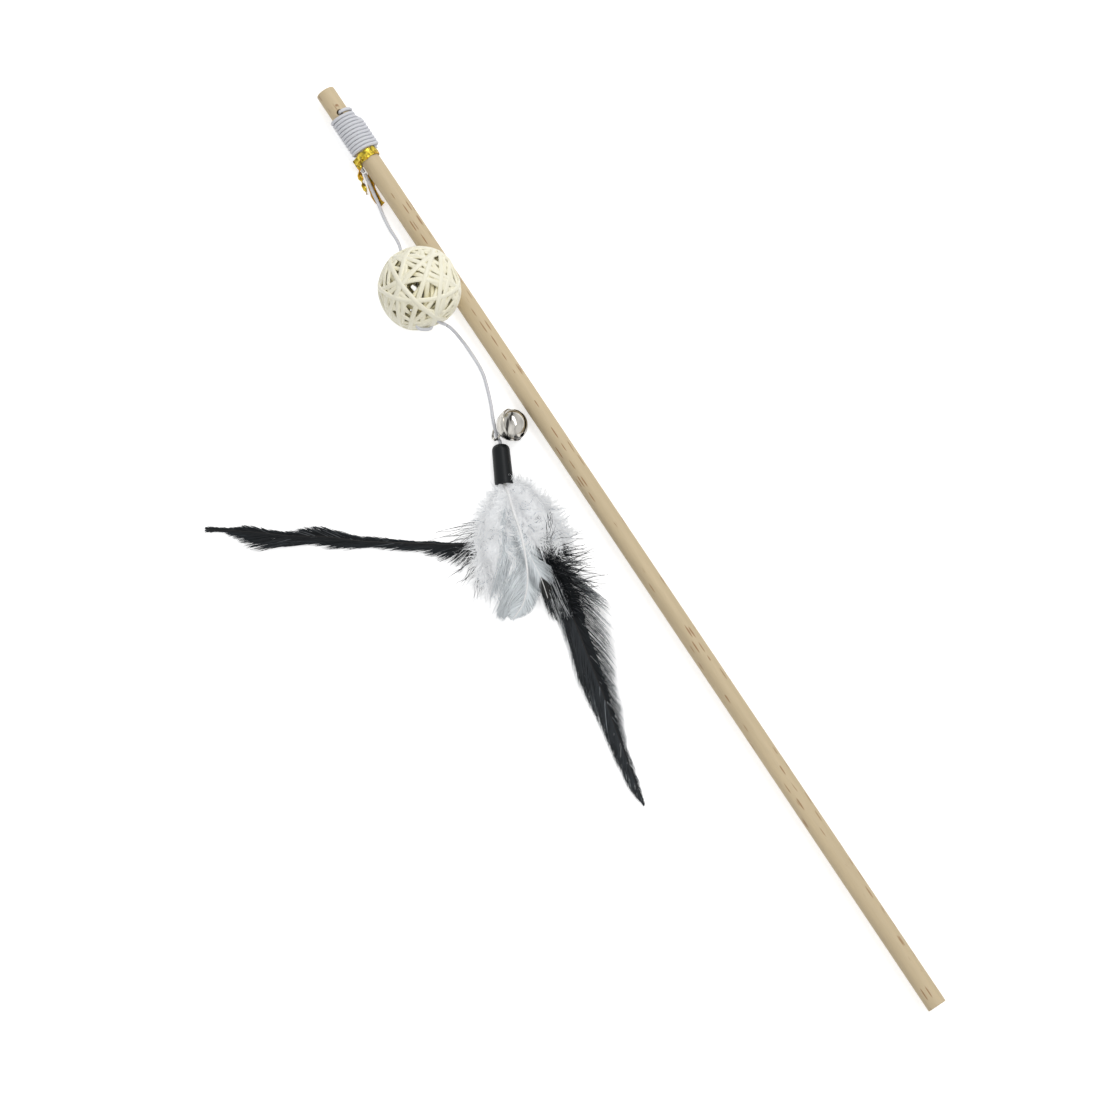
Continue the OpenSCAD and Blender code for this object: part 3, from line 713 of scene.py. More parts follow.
def table_finish():
    """White card that shows as white, and darker only under the object."""
    f = Finish("table", Roughness=0.9)
    t = f.tree
    f.shader.inputs["Base Color"].default_value = (0.9, 0.9, 0.9, 1)
    rays = t.nodes.new("ShaderNodeLightPath").outputs
    seen = maths(t, "MAXIMUM", rays["Is Camera Ray"], rays["Is Glossy Ray"])
    inputs = {"Color": (1, 1, 1, 1), "Strength": times(t, seen, TABLE_GLOW)}
    glow = result(t, "ShaderNodeEmission", inputs)
    both = result(t, "ShaderNodeAddShader", {0: f.shader.outputs[0], 1: glow})
    t.links.new(both, t.nodes["Material Output"].inputs["Surface"])
    return f.material


# Cords. Their routes are in mm, and x is counted from the stick's tip except at the first start
UPPER_START = (366.286, 4.349, -1.498)
UPPER_ROUTE = [(-37.2, 4.9, -2.2), (-40.9, 5.5, -2.8), (-46.2, 6.3, -3.4), (-51, 7.2, -3.9),
               (-56, 7.8, -3.4), (-60.5, 8.2, -0.9), (-64, 8.9, 3), (-67.2, 10, 7.4), (-70.4, 11.3, 10.8),
               (-75, 12.2, 12.3), (-82, 12.6, 12.8), (-89, 13.2, 12.9), (-93.5, 14.3, 13),
               (-96.2, 15.4, 13.3), (-97.8, 16.2, 13.4), (-99, 17.5, 13.8), (-98.3, 19.5, 14.6),
               (-97, 21.1, 15.3), (-95.5, 21, 15.4), (-94.5, 20, 15.3), (-95.4, 17.9, 15.3),
               (-96.6, 15.7, 15), (-97.6, 13.9, 13.3), (-98.6, 12.9, 11), (-99.64, 11.65, 8.82)]
LOWER_ROUTE = [(-100.1, 11.3, 8.2), (-101.2, 10.5, 6.4), (-103, 9.7, 3.2), (-105, 9, -0.4),
               (-107.6, 8.5, -3), (-111, 8.3, -4.1), (-116, 8.4, -4.25), (-120.5, 9, -4.25),
               (-125.5, 10.6, -4.25), (-131, 12.7, -4.2), (-135, 14.6, -3.7), (-137.7, 15.77, -3.08),
               (-140.4, 16.75, -3.08), (-142.6, 17.5, -2.7), (-144.05, 17.66, -1.99)]


def from_tip(route):
    return [(TIP / MM + x, y, z) for x, y, z in route]


def free_cord(name, route, body, count):
    path = smooth_path(route, count)
    radius = sizes().cord_width / 2
    piece = strands("free_" + name, [path], radius, once("braid", braid_finish), sides=16)
    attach(piece, body)
    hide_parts(name)


class WAND_OT_cords(bpy.types.Operator):
    """Lays the two free lengths of elastic cord"""
    bl_idname = "wand.cords"
    bl_label = "Free cords"

    def execute(self, context):
        free_cord("cord_upper", [UPPER_START, *from_tip(UPPER_ROUTE)], "ball_lead", 150)
        free_cord("cord_lower", from_tip(LOWER_ROUTE), "bell_lead", 90)
        return {"FINISHED"}


# Winding
HOLE_X = TIP - 10.5 * MM
FIRST_STEP = 0.5 * MM
TAIL_SLACK = 0.1 * MM
TAIL_END_STEP = 0.7 * MM
LAST_TURN = radians(235)
STUB_SIDE = radians(251)
STUB_LIFT = 0.35 * MM
# The tucked tail's angle round the stick, in degrees, at each distance back from the hole in steps
TAIL_ANGLES = [(-0.3, 168), (0, 150), (0.8, 142), (1.8, 132), (2.8, 118), (3.8, 98), (4.6, 86), (30, 86)]


def looked_up(pairs, x):
    """The value at x on the straight lines through pairs."""
    if x <= pairs[0][0]:
        return pairs[0][1]
    for (x0, y0), (x1, y1) in zip(pairs, pairs[1:]):
        if x <= x1:
            return y0 + (y1 - y0) * (x - x0) / (x1 - x0)
    return pairs[-1][1]


def around(x, a, r):
    """A place beside the stick. An angle of 0 is on top of it."""
    return Vector((x, -r * sin(a), r * cos(a)))


def lap_x(a):
    return HOLE_X - FIRST_STEP * min(a, tau) / tau - sizes().turn_step * a / tau


def over_tail(x, a):
    """Radius of a turn that is drawn tight over the tail under it."""
    lie = STICK_R + sizes().cord_width / 2
    over = sizes().cord_width + TAIL_SLACK
    tail = radians(looked_up(TAIL_ANGLES, (HOLE_X - x) / sizes().turn_step))
    w = abs((a - tail + pi) % tau - pi)
    rise = over * over - (lie * sin(w)) ** 2
    if rise <= 0 or cos(w) < 0:
        return lie
    return max(lie, lie * cos(w) + sqrt(rise))


def winding_path():
    r = sizes().cord_width / 2
    lie = STICK_R + r
    last = sizes().turns * tau + LAST_TURN
    end = lap_x(last)
    tail = [around(end - 1.6 * r + k * TAIL_END_STEP, radians(90), lie) for k in range(3)]
    k = (HOLE_X - end) / sizes().turn_step - 1
    tail += [around(HOLE_X - s * sizes().turn_step, radians(looked_up(TAIL_ANGLES, s)), lie)
             for s in (k - 0.5, 0.75 * k, 0.5 * k, 0.3 * k, 1, 0)]
    hole = [around(HOLE_X + 0.8 * r, radians(160), lie), Vector((HOLE_X + 0.6 * r, 0, -STICK_R - r)),
            Vector((HOLE_X, 0, -STICK_R + r)), Vector((HOLE_X, 0, 0)), Vector((HOLE_X, 0, STICK_R - r)),
            Vector((HOLE_X, -0.6 * r, STICK_R + 0.8 * r))]
    step = radians(12)
    angles = [step * i for i in range(2, int(last / step))]
    laps = [around(lap_x(a), a, over_tail(lap_x(a), a)) for a in angles]
    for place in laps:
        place.z = max(place.z, TABLE_Z + r)
    seat = lie + STUB_LIFT
    stub = [around(end - 0.6 * r, STUB_SIDE, lie), around(end - 2.2 * r, STUB_SIDE, seat),
            Vector(UPPER_START) * MM + Vector((0.9 * r, 0, 0))]
    return even(tail + hole + laps + stub, 640)


class WAND_OT_winding(bpy.types.Operator):
    """Winds the cord on the stick, with its tail laid under the turns"""
    bl_idname = "wand.winding"
    bl_label = "Wound cord"

    def execute(self, context):
        radius = sizes().cord_width / 2
        piece = strands("wound_cord", [winding_path()], radius, once("braid", braid_finish), sides=14)
        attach(piece, "wand")
        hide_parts("cord_winding")
        return {"FINISHED"}


# Twist tie
BAND_X = TIP - 29.1 * MM
BAND_HALF = 1.7 * MM
BAND_WOBBLE = 0.12 * MM
FOIL_LIFT = 0.35 * MM
TWIST_ROUTE = [(370.9, 1.9, 3.3), (370.2, 3.3, 3.7), (368.2, 5.3, 2.6), (366, 6.5, 1.4), (363.8, 7.1, 0.4),
               (361.4, 7.5, -0.4), (359, 8, -1)]
FLAT_ROUTE = [(369.8, -1.5, -4.1), (366.5, 1.6, -4.3), (362.4, 4.3, -4.2), (359, 5.3, -4.1),
              (355.6, 5.6, -3.9), (353.2, 5.2, -3.6)]
TWISTS = 1.8
# Half widths of the twisted end: at its ends, and how much more in its middle
TWIST_HALF = 0.78 * MM
TWIST_SWELL = 0.4 * MM
TAIL_HALF = 1.5 * MM


def band_path(lift):
    """Round the stick and the cord beside it, as a tight belt."""
    seat = around(0, STUB_SIDE, STICK_R + sizes().cord_width / 2 + STUB_LIFT)
    path = []
    for i, angle in enumerate(full_turn(72)):
        u = around(0, angle, 1.0)
        best = max((u * STICK_R, seat + u * sizes().cord_width / 2), key=lambda p: p.dot(u))
        path.append(best + u * lift + Vector((BAND_X + BAND_WOBBLE * sin(7 * i), 0, 0)))
    return path


def twisted_sides(path, turns, start):
    sides = carried(path, start)
    spun = []
    for i, (side, way) in enumerate(zip(sides, headings(path))):
        spun.append(Matrix.Rotation(turns * tau * i / (len(path) - 1), 3, way) @ side)
    return spun


class WAND_OT_tie(bpy.types.Operator):
    """Folds the gold foil tie round the stick and twists its ends"""
    bl_idname = "wand.tie"
    bl_label = "Twist tie"

    def execute(self, context):
        foil = once("foil", foil_finish)
        belt = band_path(FOIL_LIFT)
        outward = [(p - Vector((p.x, 0, 0))).normalized() for p in belt]
        band = strands("tie_band", [belt], BAND_HALF, foil, flatness=0.13, sides=28, closed=True,
                       side=[outward], crumple=0.8 * MM, crumple_size=1.4 * MM)
        path = smooth_path(TWIST_ROUTE, 90)
        n = len(path)
        widths = [(TWIST_HALF + TWIST_SWELL * sin(pi * i / (n - 1))) * (0.9 + 0.1 * sin(i * 0.5))
                  for i in range(n)]
        twist = strands("tie_twist", [path], [widths], foil, flatness=0.3, sides=18,
                        side=[twisted_sides(path, TWISTS, UP)], crumple=0.3 * MM, crumple_size=0.8 * MM)
        path = smooth_path(FLAT_ROUTE, 60)
        widths = [TAIL_HALF * (0.92 + 0.08 * sin(i * 0.31)) for i in range(len(path))]
        # The flat tail is mostly painted shade
        brown = foil_finish("shade_painted_foil", 0.2)
        tail = strands("tie_tail", [path], [widths], brown, flatness=0.11, sides=24,
                       side=[twisted_sides(path, 0.08, UP)], crumple=0.45 * MM, crumple_size=1.5 * MM)
        for piece in (band, twist, tail):
            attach(piece, "wand")
        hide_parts("twist_tie")
        dress("tie_wire", once("wire", wire_finish))
        return {"FINISHED"}


# Woven ball
BALL_CENTRE = Vector((315.7, 12.556, 13.655)) * MM
BALL_R = 15.6 * MM
INNER_R = 11.2 * MM
OUTER_R = 13.7 * MM
# Outer hoops from the lowest to the topmost: turn and tilt of the axis in degrees, offset along it
OUTER_HOOPS = [(-110, 35, -6), (150, 60, 8), (20, 40, -6), (100, 30, 7), (-60, 80, 6.5), (75, 55, -9),
               (5, 70, 9), (120, 85, -5), (-134, 78, -4.4), (40, 85, -0.9), (-165, 79, -0.8),
               (155, 14, 0.2), (45, 75, -7.8), (-31, 49, 2.4), (53, 76, -5.2), (-85, 66, -0.3)]
HOOP_POINTS = 72
EASE_STEP = 0.12 * MM
STICK_GAP = 0.15 * MM
DRAW_STEP = 0.05 * MM
# A cane counts as deep, and takes the painted shade, from this far below the ball's skin, and fully so the
# second distance further in
DEEP_FROM = 1.2 * MM
DEEP_FADE = 3 * MM


def hoop_axis(turn, tilt):
    turn, tilt = radians(turn), radians(tilt)
    return Vector((sin(tilt) * cos(turn), sin(tilt) * sin(turn), cos(tilt)))


def hoops():
    """Axis, offset as a share of the radius, and least radius of every hoop, from the lowest up."""
    dice = Random(sizes().seed)
    inner = [(dice.uniform(-180, 180), dice.uniform(15, 90), dice.uniform(-9, 9))
             for _ in range(sizes().inner_canes)]
    return [(hoop_axis(turn, tilt), offset * MM / BALL_R, least)
            for least, layer in ((INNER_R, inner), (OUTER_R, OUTER_HOOPS)) for turn, tilt, offset in layer]


def laid_over(ways, below, least):
    """Heights of a new hoop that lies on the canes below it, and eases down between them."""
    reach = cos(1.1 * sizes().cane_width / BALL_R)
    heights = []
    for way in ways:
        under = [h + sizes().cane_thickness for other, h in below if way.dot(other) > reach]
        heights.append(max([least, *under]))
    n = len(heights)
    for _ in range(5):
        heights = [max(h, (heights[i - 1] + heights[(i + 1) % n]) / 2 - EASE_STEP)
                   for i, h in enumerate(heights)]
    for _ in range(3):
        heights = [(heights[i - 1] + 2 * h + heights[(i + 1) % n]) / 4 for i, h in enumerate(heights)]
    return heights


def beside_stick(way, r):
    """The place at that radius, drawn in where the stick is in the way."""
    clear = STICK_R + sizes().cane_thickness / 2 + STICK_GAP
    place = BALL_CENTRE + way * r
    while place.yz.length < clear:
        r -= DRAW_STEP
        place = BALL_CENTRE + way * r
    return place


def cane_paths():
    """Middle line, outward sides and depth of each cane."""
    below, found = [], []
    for axis, share, least in hoops():
        e = axis.orthogonal().normalized()
        f = axis.cross(e)
        ring = sqrt(1 - share * share)
        ways = [(axis * share + (e * cos(a) + f * sin(a)) * ring).normalized()
                for a in full_turn(HOOP_POINTS)]
        heights = laid_over(ways, below, least)
        below.extend(zip(ways, heights))
        found.append((ways, heights))
    top = max(max(heights) for _, heights in found)
    squeeze = (BALL_R - sizes().cane_thickness / 2 - OUTER_R) / (top - OUTER_R)
    paths, sides, depths = [], [], []
    for ways, heights in found:
        radii = [h if h < OUTER_R else OUTER_R + (h - OUTER_R) * squeeze for h in heights]
        paths.append([beside_stick(w, r) for w, r in zip(ways, radii)])
        sides.append(ways)
        depths.append([min(1.0, max(0.0, (BALL_R - DEEP_FROM - r) / DEEP_FADE)) for r in radii])
    return paths, sides, depths


class WAND_OT_ball(bpy.types.Operator):
    """Weaves the ball: each cane lies over the ones before it"""
    bl_idname = "wand.ball"
    bl_label = "Woven ball"

    def execute(self, context):
        paths, sides, depths = cane_paths()
        dice = Random(sizes().seed + 1)
        picks = [[dice.random()] * len(p) for p in paths]
        radius = sizes().cane_width / 2
        piece = strands("woven_ball", paths, radius, once("cane", cane_finish), sides=12, closed=True,
                        side=sides, flatness=sizes().cane_thickness / sizes().cane_width, depth=depths,
                        pick=picks)
        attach(piece, "ball_lead")
        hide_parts(*[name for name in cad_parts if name.startswith("cane_")])
        return {"FINISHED"}


# Bell
BELL_CENTRE = Vector((257.516, 10.993, 0.896)) * MM
BELL_R = 5.8 * MM
EYE_PLACE = Vector((258.7, 16.95, -2.7)) * MM
EYE_LONG = Vector((-0.84, 0.54, 0.6)).normalized()
EYE_HALF = (3.1 * MM, 1.75 * MM)
EYE_WIRE_R = 0.48 * MM
SEAM_WIDTH = 0.5 * MM
SEAM_POLE = Vector((259.6, 16.75, -3.08)) * MM


class WAND_OT_bell_trim(bpy.types.Operator):
    """Bends the bell's eye and presses the seam between its shells"""
    bl_idname = "wand.bell_trim"
    bl_label = "Bell's eye and seam"

    def execute(self, context):
        nickel = once("nickel", nickel_finish)
        inward = BELL_CENTRE - EYE_PLACE
        short = (inward - EYE_LONG * inward.dot(EYE_LONG)).normalized()
        loop = [EYE_PLACE + EYE_LONG * EYE_HALF[0] * cos(a) + short * EYE_HALF[1] * sin(a)
                for a in full_turn(48)]
        flat = [EYE_LONG.cross(short)] * len(loop)
        eye = strands("eye_loop", [loop], EYE_WIRE_R, nickel, flatness=0.6, sides=14, closed=True,
                      side=[flat])
        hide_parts("bell_eye")
        axis = (SEAM_POLE - BELL_CENTRE).normalized()
        e = axis.orthogonal().normalized()
        f = axis.cross(e)
        ring = [BELL_CENTRE + (e * cos(a) + f * sin(a)) * BELL_R for a in full_turn(96)]
        seam = strands("bell_seam", [ring], SEAM_WIDTH / 2, nickel, sides=10, closed=True)
        for piece in (eye, seam):
            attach(piece, "bell")
        return {"FINISHED"}


# Stick, bell and cap keep their fixed shapes
class WAND_OT_hard_parts(bpy.types.Operator):
    """Gives the stick, the bell and the cap their materials"""
    bl_idname = "wand.hard_parts"
    bl_label = "Stick, bell and cap"

    def execute(self, context):
        dress("dowel", beech_finish())
        nickel = once("nickel", nickel_finish)
        for name in ("bell_upper_shell", "bell_lower_shell"):
            dress(name, nickel)
        dress("bell_clapper", nickel_finish("clapper_steel", 0.3))
        dress("cap_cord_knot", knot_finish())
        dress("feather_cap", vinyl_finish())
        dress("cap_glue", glue_finish())
        return {"FINISHED"}


# Feathers
BARB_FLOOR = TABLE_Z + 0.02 * MM
HOLDER_REACH = 1.5 * MM
# How far, in mm, the last barbs may reach past the end of their quill
TIP_REACH = 1.0
# Widths of single barbs
HACKLE_BARB = 0.3 * MM
FRINGE_BARB = 0.085 * MM
WISP_BARB = 0.2 * MM
TUFT_BARB = 0.28 * MM
STREAK_BARB = 0.26 * MM
# Radii of each quill at its root and at its tip
DARK_QUILL = (0.45 * MM, 0.12 * MM)
PALE_QUILL = (0.7 * MM, 0.2 * MM)
SPOTTED_QUILL = (0.35 * MM, 0.1 * MM)
# The pale feather's quill is arched up by this much over its length, and its vane down
PALE_ARCH = 3 * MM


def dark_finish():
    return feather_finish("dark_barbs", colours().dark, shade(colours().dark, 3.0), (0.5, 1.0),
                          (0.12, 0.13, 0.14), 0.06)


def dark_quill():
    return quill_finish("dark_quill", (0.006, 0.006, 0.006), 0.7)


def arched(path, height):
    """The path, raised in its middle and kept at its ends."""
    return [p + UP * height * sin(pi * i / (len(path) - 1)) for i, p in enumerate(path)]


def shaft_line(name, path, radii, material):
    """A tapered quill."""
    start, end = radii
    n = len(path)
    thick = [[start + (end - start) * i / (n - 1) for i in range(n)]]
    return strands(name, [path], thick, material, sides=8)


def sideways(path, sign):
    """Level directions square to a path, to its left or, with a sign of -1, to its right."""
    return [UP.cross(h).normalized() * sign for h in headings(path)]


def grow_barbs(name, paths, reach, side, material, count, slant, scatter, rise, puff, uneven, width, flat,
               wave, wave_size, bend, seed):
    mesh = path_mesh(name, paths, reach=reach, side=side)
    return grown(name, mesh, once("barbs", barb_tree), Count=count, Slant=radians(slant),
                 Scatter=radians(scatter), Rise=radians(rise), Puff=radians(puff), Uneven=uneven,
                 Width=width / 2, Flat=flat, Wave=wave * MM, WaveSize=wave_size * MM, Bend=bend,
                 Floor=BARB_FLOOR, Seed=sizes().seed + seed, Material=material)


def vane(name, path, left, right, material, count=420, slant=38.0, scatter=6.0, rise=4.0, puff=4.0,
         uneven=0.12, width=None, wave=0.6, wave_size=2.5, bend=0.12, flat=0.22, seed=0):
    """Barbs beside a shaft. left and right pair distances along it with the vane's width there, in mm."""
    n = len(path)
    run = path_length(path) / MM
    across = sin(radians(slant)) - bend * cos(radians(slant))
    ahead = cos(radians(slant)) + bend * sin(radians(slant))
    reach, side, paths = [], [], []
    for widths, sign in ((left, 1), (right, -1)):
        if not widths:
            continue
        roots = sorted((s - w * ahead / across, w) for s, w in widths)
        longest = [min(looked_up(roots, run * i / (n - 1)) / across,
                       run * (n - 1 - i) / (n - 1) / ahead + TIP_REACH) for i in range(n)]
        reach.append([max(0.0, v) * MM for v in longest])
        side.append(sideways(path, sign))
        paths.append(path)
    return grow_barbs(name, paths, reach, side, material, count, slant, scatter, rise, puff, uneven,
                      width or sizes().barb_width, flat, wave, wave_size, bend, seed)


def fluff(name, shafts, reach, count, material, slant=62.0, scatter=38.0, spread=55.0, width=None,
          flat=1.0, wave=4.5, wave_size=7.0, uneven=0.6, seed=5):
    """Filaments all round some shafts. reach holds their length at the start and the end, in mm, but they
    stay short where a shaft leaves its holder."""
    first, last = reach
    paths, reaches, sides = [], [], []
    for path in shafts:
        n = len(path)
        step = path_length(path) / (n - 1)
        for sign in (1, -1):
            paths.append(path)
            reaches.append([min(step * i + HOLDER_REACH, (first + (last - first) * i / (n - 1)) * MM)
                            for i in range(n)])
            sides.append(sideways(path, sign))
    return grow_barbs(name, paths, reaches, sides, material, count // len(paths), slant, scatter, 8.0,
                      spread, uneven, width or sizes().fluff_width, flat, wave, wave_size, 0.1, seed)


def on_lure(piece, slot, *nodes):
    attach(piece, "lure")
    if nodes:
        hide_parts(*nodes)


def dark_vane(name, path, left, right, material, *nodes, **values):
    on_lure(vane(name, path, left, right, material, **values), "dark_feather", *nodes)


def dark_shaft(name, path):
    on_lure(shaft_line(name, path, DARK_QUILL, once("dark_quill", dark_quill)), "dark_feather")


# Where each quill and each bundle of loose barbs runs, in mm
WHITE_SPINE = [(241, 25, -1), (236, 26.4, 2.2), (229.9, 28.4, 4.2), (220.3, 31.2, 5.4), (211.3, 35, 5.6),
               (205.1, 38.6, 5.4), (199.9, 43.8, 4.8), (197.4, 49.7, 4.2)]
SPOT_SPINE = [(241, 25, -1), (236, 27.3, 1), (230, 29.3, 2.6), (224, 30.8, 3.4), (217, 31.8, 3.8),
              (209, 32.6, 3.9), (203, 33.6, 3.8), (197, 35.2, 3.6)]
LEFT_SPINE = [(241, 25.6, -1.8), (237, 28.4, -2.8), (232.3, 34, -4), (229.6, 40, -4.3),
              (229.7, 45.2, -4.3), (232.6, 51.5, -4.3), (237.6, 58.5, -4.3), (245, 69.1, -4.3),
              (252.6, 79.5, -4.3), (261, 89.4, -4.3), (268.4, 100, -4.3), (276.6, 110.1, -4.3),
              (282.4, 117.8, -4.2), (286.6, 123.6, -4.1)]
RIGHT_SPINE = [(241, 24.7, -1.8), (234, 25.9, -3.4), (226, 26.8, -4.1), (219, 27.8, -4.2),
               (211.7, 28.4, -4.2), (203.1, 28.4, -4.2), (192.5, 29.7, -4.2), (181.2, 32.1, -4.2),
               (170, 34.6, -4.2), (157.4, 37.2, -4.2), (143.9, 40.5, -4.2), (130.5, 43.7, -4.2),
               (116.9, 46.7, -4.1)]
DOWN_LEFT_SHAFTS = [[(241, 25.5, -1), (238, 32, 0), (232, 40, 1), (226, 45, 1), (218, 48, 0.5),
                     (211, 49.5, 0)], [(241, 25.3, -1), (236, 28, 1.5), (228, 34, 2.5), (219, 39, 2.5)]]
DOWN_RIGHT_SHAFTS = [[(241, 24.8, -1), (237, 20, 0.5), (229, 18, 1), (220, 18, 1), (212, 19, 0.5)],
                     [(241, 25, -1), (234, 25.5, 2), (225, 26.5, 3), (216, 28, 3)]]
LEFT_WISP_SHAFT = [(234, 38, -2), (228, 44, -2), (220, 47, -2), (211, 48, -2)]
RAISED_SHAFT = [(210, 27, 2), (215, 23, 4.5), (219, 20, 5.5), (222, 18, 6)]
TUFT_SHAFT = [(218, 27, -2), (211.7, 27, -1.5), (204, 27, -1.5), (196, 28, -2.5), (188, 30, -3.5)]


class WAND_OT_down(bpy.types.Operator):
    """Fluffs the two down plumes"""
    bl_idname = "wand.down"
    bl_label = "Down plumes"

    def execute(self, context):
        # The down gets a painted glow, as emission, besides its sheen
        finish = feather_finish("down", shade(colours().down, 0.75), colours().down, (0.25, 0.75),
                                (0.3, 0.33, 0.36), 0.015, sheen=0.5, glow=0.28)
        for side, shafts in (("left", DOWN_LEFT_SHAFTS), ("right", DOWN_RIGHT_SHAFTS)):
            paths = [smooth_path(p, 40) for p in shafts]
            piece = fluff("down_" + side, paths, (5, 8.5), sizes().fluff_count, finish, scatter=50,
                          spread=35, wave=10, wave_size=5)
            on_lure(piece, "down", "down_plume_" + side)
            haze = fluff("haze_" + side, paths, (7, 11.5), sizes().haze_count, finish, scatter=50,
                         spread=45, width=sizes().haze_width, wave=12, wave_size=6, seed=9)
            on_lure(haze, "down")
        return {"FINISHED"}


class WAND_OT_pale_feathers(bpy.types.Operator):
    """Grows the broad pale feather and the small spotted one"""
    bl_idname = "wand.pale_feathers"
    bl_label = "Pale feathers"

    def execute(self, context):
        quill = quill_finish("pale_quill", (0.97, 0.97, 0.97))
        # The pale barbs get a faint painted glow
        grey = feather_finish("pale_barbs", colours().pale, shade(colours().pale, 0.92), glow=0.08)
        path = smooth_path(WHITE_SPINE, 70)
        left = [(0, 0), (26, 0), (36, 3), (43, 4.5), (49, 3.5), (53, 0.5)]
        right = [(0, 0), (24, 0), (32, 11), (38, 15), (45, 16), (50, 14), (53, 10), (56, 2)]
        sunk = arched(path, -PALE_ARCH)
        on_lure(vane("pale_vane", sunk, left, right, grey, slant=46, bend=0.2), "pale_feather",
                "white_feather")
        on_lure(shaft_line("pale_shaft", arched(path, PALE_ARCH), PALE_QUILL, quill), "pale_feather")
        path = smooth_path(SPOT_SPINE, 60)
        side = [(0, 0.2), (28, 0.5), (33, 3.4), (38, 4.2), (42, 3.6), (45, 1)]
        # The spotted barbs get a faint painted glow
        spotted = feather_finish("spotted_barbs", colours().pale, (0.5, 0.53, 0.55), (0.3, 0.8),
                                 tip=(0.02, 0.02, 0.02), tip_from=0.79, glow=0.08)
        on_lure(vane("spotted_vane", path, side, side, spotted, count=260, slant=32), "pale_feather",
                "spotted_feather")
        on_lure(shaft_line("spotted_shaft", path, SPOTTED_QUILL, quill), "pale_feather")
        return {"FINISHED"}


class WAND_OT_left_hackle(bpy.types.Operator):
    """Grows the long dark hackle that lies to the left"""
    bl_idname = "wand.left_hackle"
    bl_label = "Left hackle"

    def execute(self, context):
        dark = once("dark", dark_finish)
        path = smooth_path(LEFT_SPINE, 140)
        left = [(15, 1), (25, 2.8), (36, 3.9), (49, 3.3), (62, 2.3), (75, 3.6), (85, 4), (94, 5.9),
                (101, 6.5), (111, 4), (115, 1)]
        right = [(15, 0.5), (36, 0.9), (49, 0.9), (59, 1.8), (68, 1.9), (79, 3.4), (87, 2.7), (94, 1.4),
                 (108, 2.1), (115, 1)]
        dark_vane("left_vane", path, left, right, dark, "left_hackle", count=1100, slant=16, scatter=3,
                  uneven=0.3, wave=0.7, width=HACKLE_BARB, bend=0.02)
        dark_shaft("left_shaft", path)
        path = smooth_path(LEFT_WISP_SHAFT, 40)
        dark_vane("left_wisps", path, [], [(0, 12), (16, 17), (26, 13)], dark, count=80, slant=58,
                  scatter=26, puff=12, uneven=0.6, wave=4, width=WISP_BARB, flat=1.0, seed=3)
        return {"FINISHED"}


def right_vanes(path, dark):
    """The right hackle: a dark far side, a near side painted a lighter grey as a painted sheen, and a pale
    fringe over both.
    """
    far = [(28, 6), (44, 12), (54.6, 12), (67, 11), (78.7, 9.2), (89.3, 5.5), (96.2, 4.4), (106, 1.9),
           (118.5, 1.5), (127, 0.3)]
    near = [(28, 3), (43, 8), (52.5, 8), (63.3, 7), (74.2, 7.2), (86, 6.4), (99.4, 5.3), (110, 4.2),
            (121, 3.1), (127.5, 0.4)]
    # Painted sheen: the near side is the same dark feather in a lighter grey tone
    painted_sheen = feather_finish("sheen_painted_barbs", shade(colours().dark, 2.6), colours().dark, (0.6, 1.0),
                           (0.2, 0.22, 0.24), 0.04, sheen=0.05)
    dark_vane("right_vane", path, [(s, 0.3 * w) for s, w in far], [], dark, "right_hackle", count=650,
              slant=24, scatter=2.5, uneven=0.2, wave=0.5)
    dark_vane("sheen_painted_vane", path, [], [(s, 0.92 * w) for s, w in near], painted_sheen, count=700, slant=22,
              scatter=1.5, uneven=0.2, wave=0.5)
    grey = feather_finish("fringe", colours().dark, (0.3, 0.33, 0.35), (0.4, 0.9), (0.85, 0.86, 0.87), 0.05)
    dark_vane("right_fringe", path, far, near, grey, count=1300, slant=27, scatter=3.5, uneven=0.25,
              wave=1.6, width=FRINGE_BARB, seed=1)
    dark_shaft("right_shaft", path)


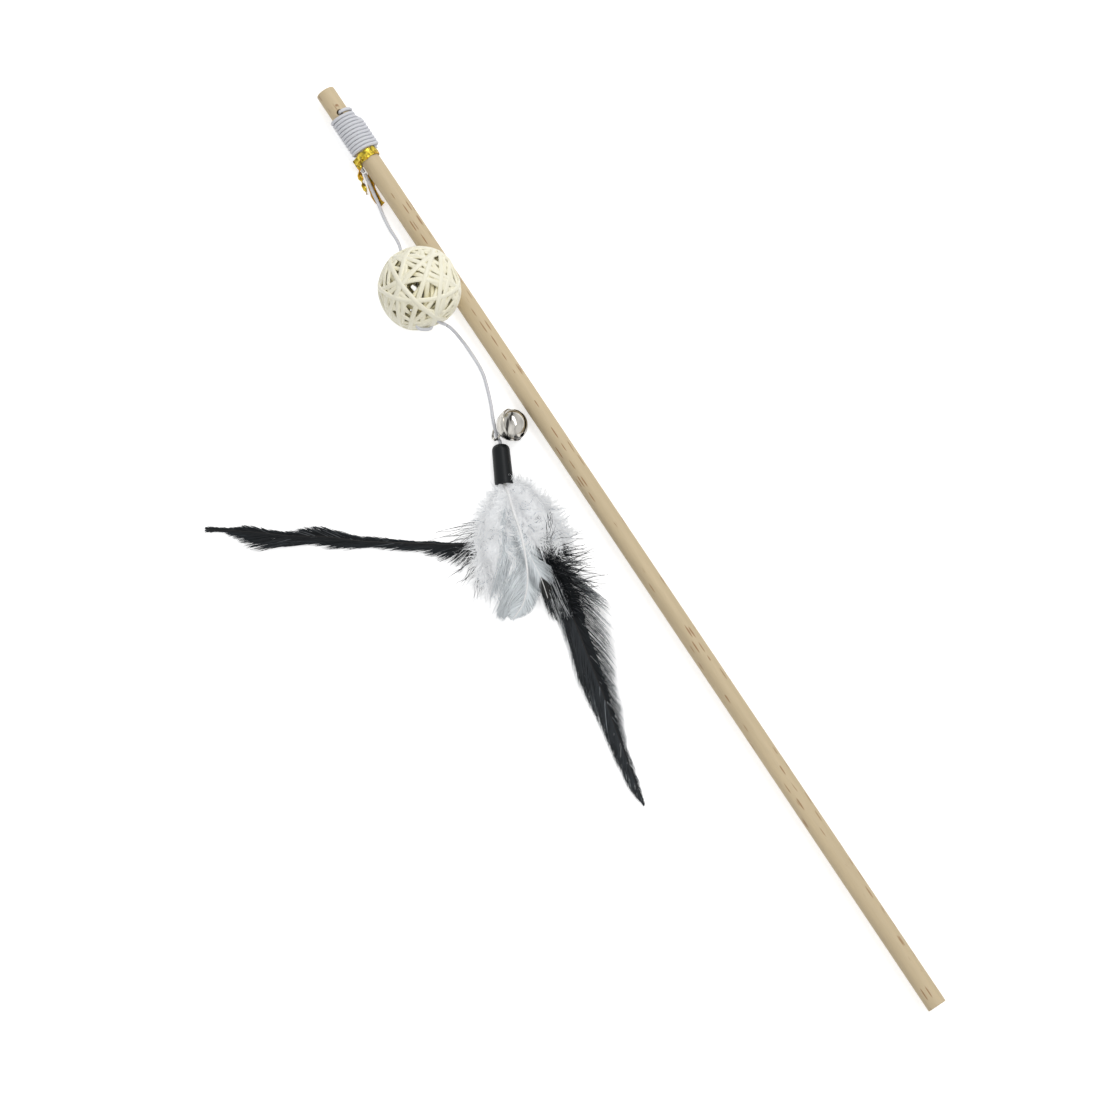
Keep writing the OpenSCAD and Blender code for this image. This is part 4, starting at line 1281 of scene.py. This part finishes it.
def right_tuft(dark):
    """The loose tuft at the root of the right hackle, with a few raised wisps and pale streaks."""
    path = smooth_path(TUFT_SHAFT, 60)
    dark_vane("tuft_wisps", path, [(0, 12), (12, 16), (30, 17)], [], dark, count=150, slant=64,
              scatter=34, rise=10, puff=14, uneven=0.55, wave=5, width=TUFT_BARB, flat=1.0, seed=4)
    on_lure(fluff("tuft", [path], (5, 4), 900, dark, width=WISP_BARB, wave=2, wave_size=4, seed=6),
            "dark_feather")
    raised = smooth_path(RAISED_SHAFT, 20)
    beside = [(0, 1.6), (12, 1.8)]
    dark_vane("raised_wisps", raised, beside, beside, dark, count=7, slant=18, scatter=9, puff=8,
              uneven=0.4, wave=2, width=WISP_BARB, flat=1.0, seed=12)
    streaky = feather_finish("streaky_barbs", colours().dark, (0.05, 0.055, 0.06), streak=(0.8, 0.82, 0.84),
                             streaks=0.35)
    dark_vane("streaks", path, [], [(6, 4), (16, 9), (24, 11), (31, 9)], streaky, count=240, slant=24,
              scatter=7, uneven=0.4, wave=1.5, width=STREAK_BARB, seed=8)


class WAND_OT_right_hackle(bpy.types.Operator):
    """Grows the long dark hackle that lies to the right, its pale fringe and its tuft"""
    bl_idname = "wand.right_hackle"
    bl_label = "Right hackle"

    def execute(self, context):
        dark = once("dark", dark_finish)
        right_vanes(smooth_path(RIGHT_SPINE, 150), dark)
        right_tuft(dark)
        return {"FINISHED"}


class WAND_PT_panel(bpy.types.Panel):
    """Lists the pieces of the wand"""
    bl_idname = "WAND_PT_panel"
    bl_label = "Cat teaser wand"
    bl_space_type = "VIEW_3D"
    bl_region_type = "UI"
    bl_category = "Wand"

    def draw(self, context):
        for key in WandSizes.__annotations__:
            self.layout.prop(context.scene.wand_sizes, key)
        for key in WandColours.__annotations__:
            self.layout.prop(context.scene.wand_colours, key)
        for kind in OPERATORS:
            self.layout.operator(kind.bl_idname)


OPERATORS = (WAND_OT_stage, WAND_OT_cords, WAND_OT_winding, WAND_OT_tie, WAND_OT_ball, WAND_OT_bell_trim,
             WAND_OT_hard_parts, WAND_OT_down, WAND_OT_pale_feathers, WAND_OT_left_hackle,
             WAND_OT_right_hackle)


def register():
    for kind in (WandSizes, WandColours, *OPERATORS, WAND_PT_panel):
        bpy.utils.register_class(kind)
    bpy.types.Scene.wand_sizes = PointerProperty(type=WandSizes)
    bpy.types.Scene.wand_colours = PointerProperty(type=WandColours)


def unregister():
    del bpy.types.Scene.wand_colours
    del bpy.types.Scene.wand_sizes
    for kind in reversed((WandSizes, WandColours, *OPERATORS, WAND_PT_panel)):
        bpy.utils.unregister_class(kind)


def main():
    register()
    bpy.ops.wand.stage()
    bpy.ops.wand.cords()
    bpy.ops.wand.winding()
    bpy.ops.wand.tie()
    bpy.ops.wand.ball()
    bpy.ops.wand.bell_trim()
    bpy.ops.wand.hard_parts()
    bpy.ops.wand.down()
    bpy.ops.wand.pale_feathers()
    bpy.ops.wand.left_hackle()
    bpy.ops.wand.right_hackle()


if __name__ == "__main__":
    main()
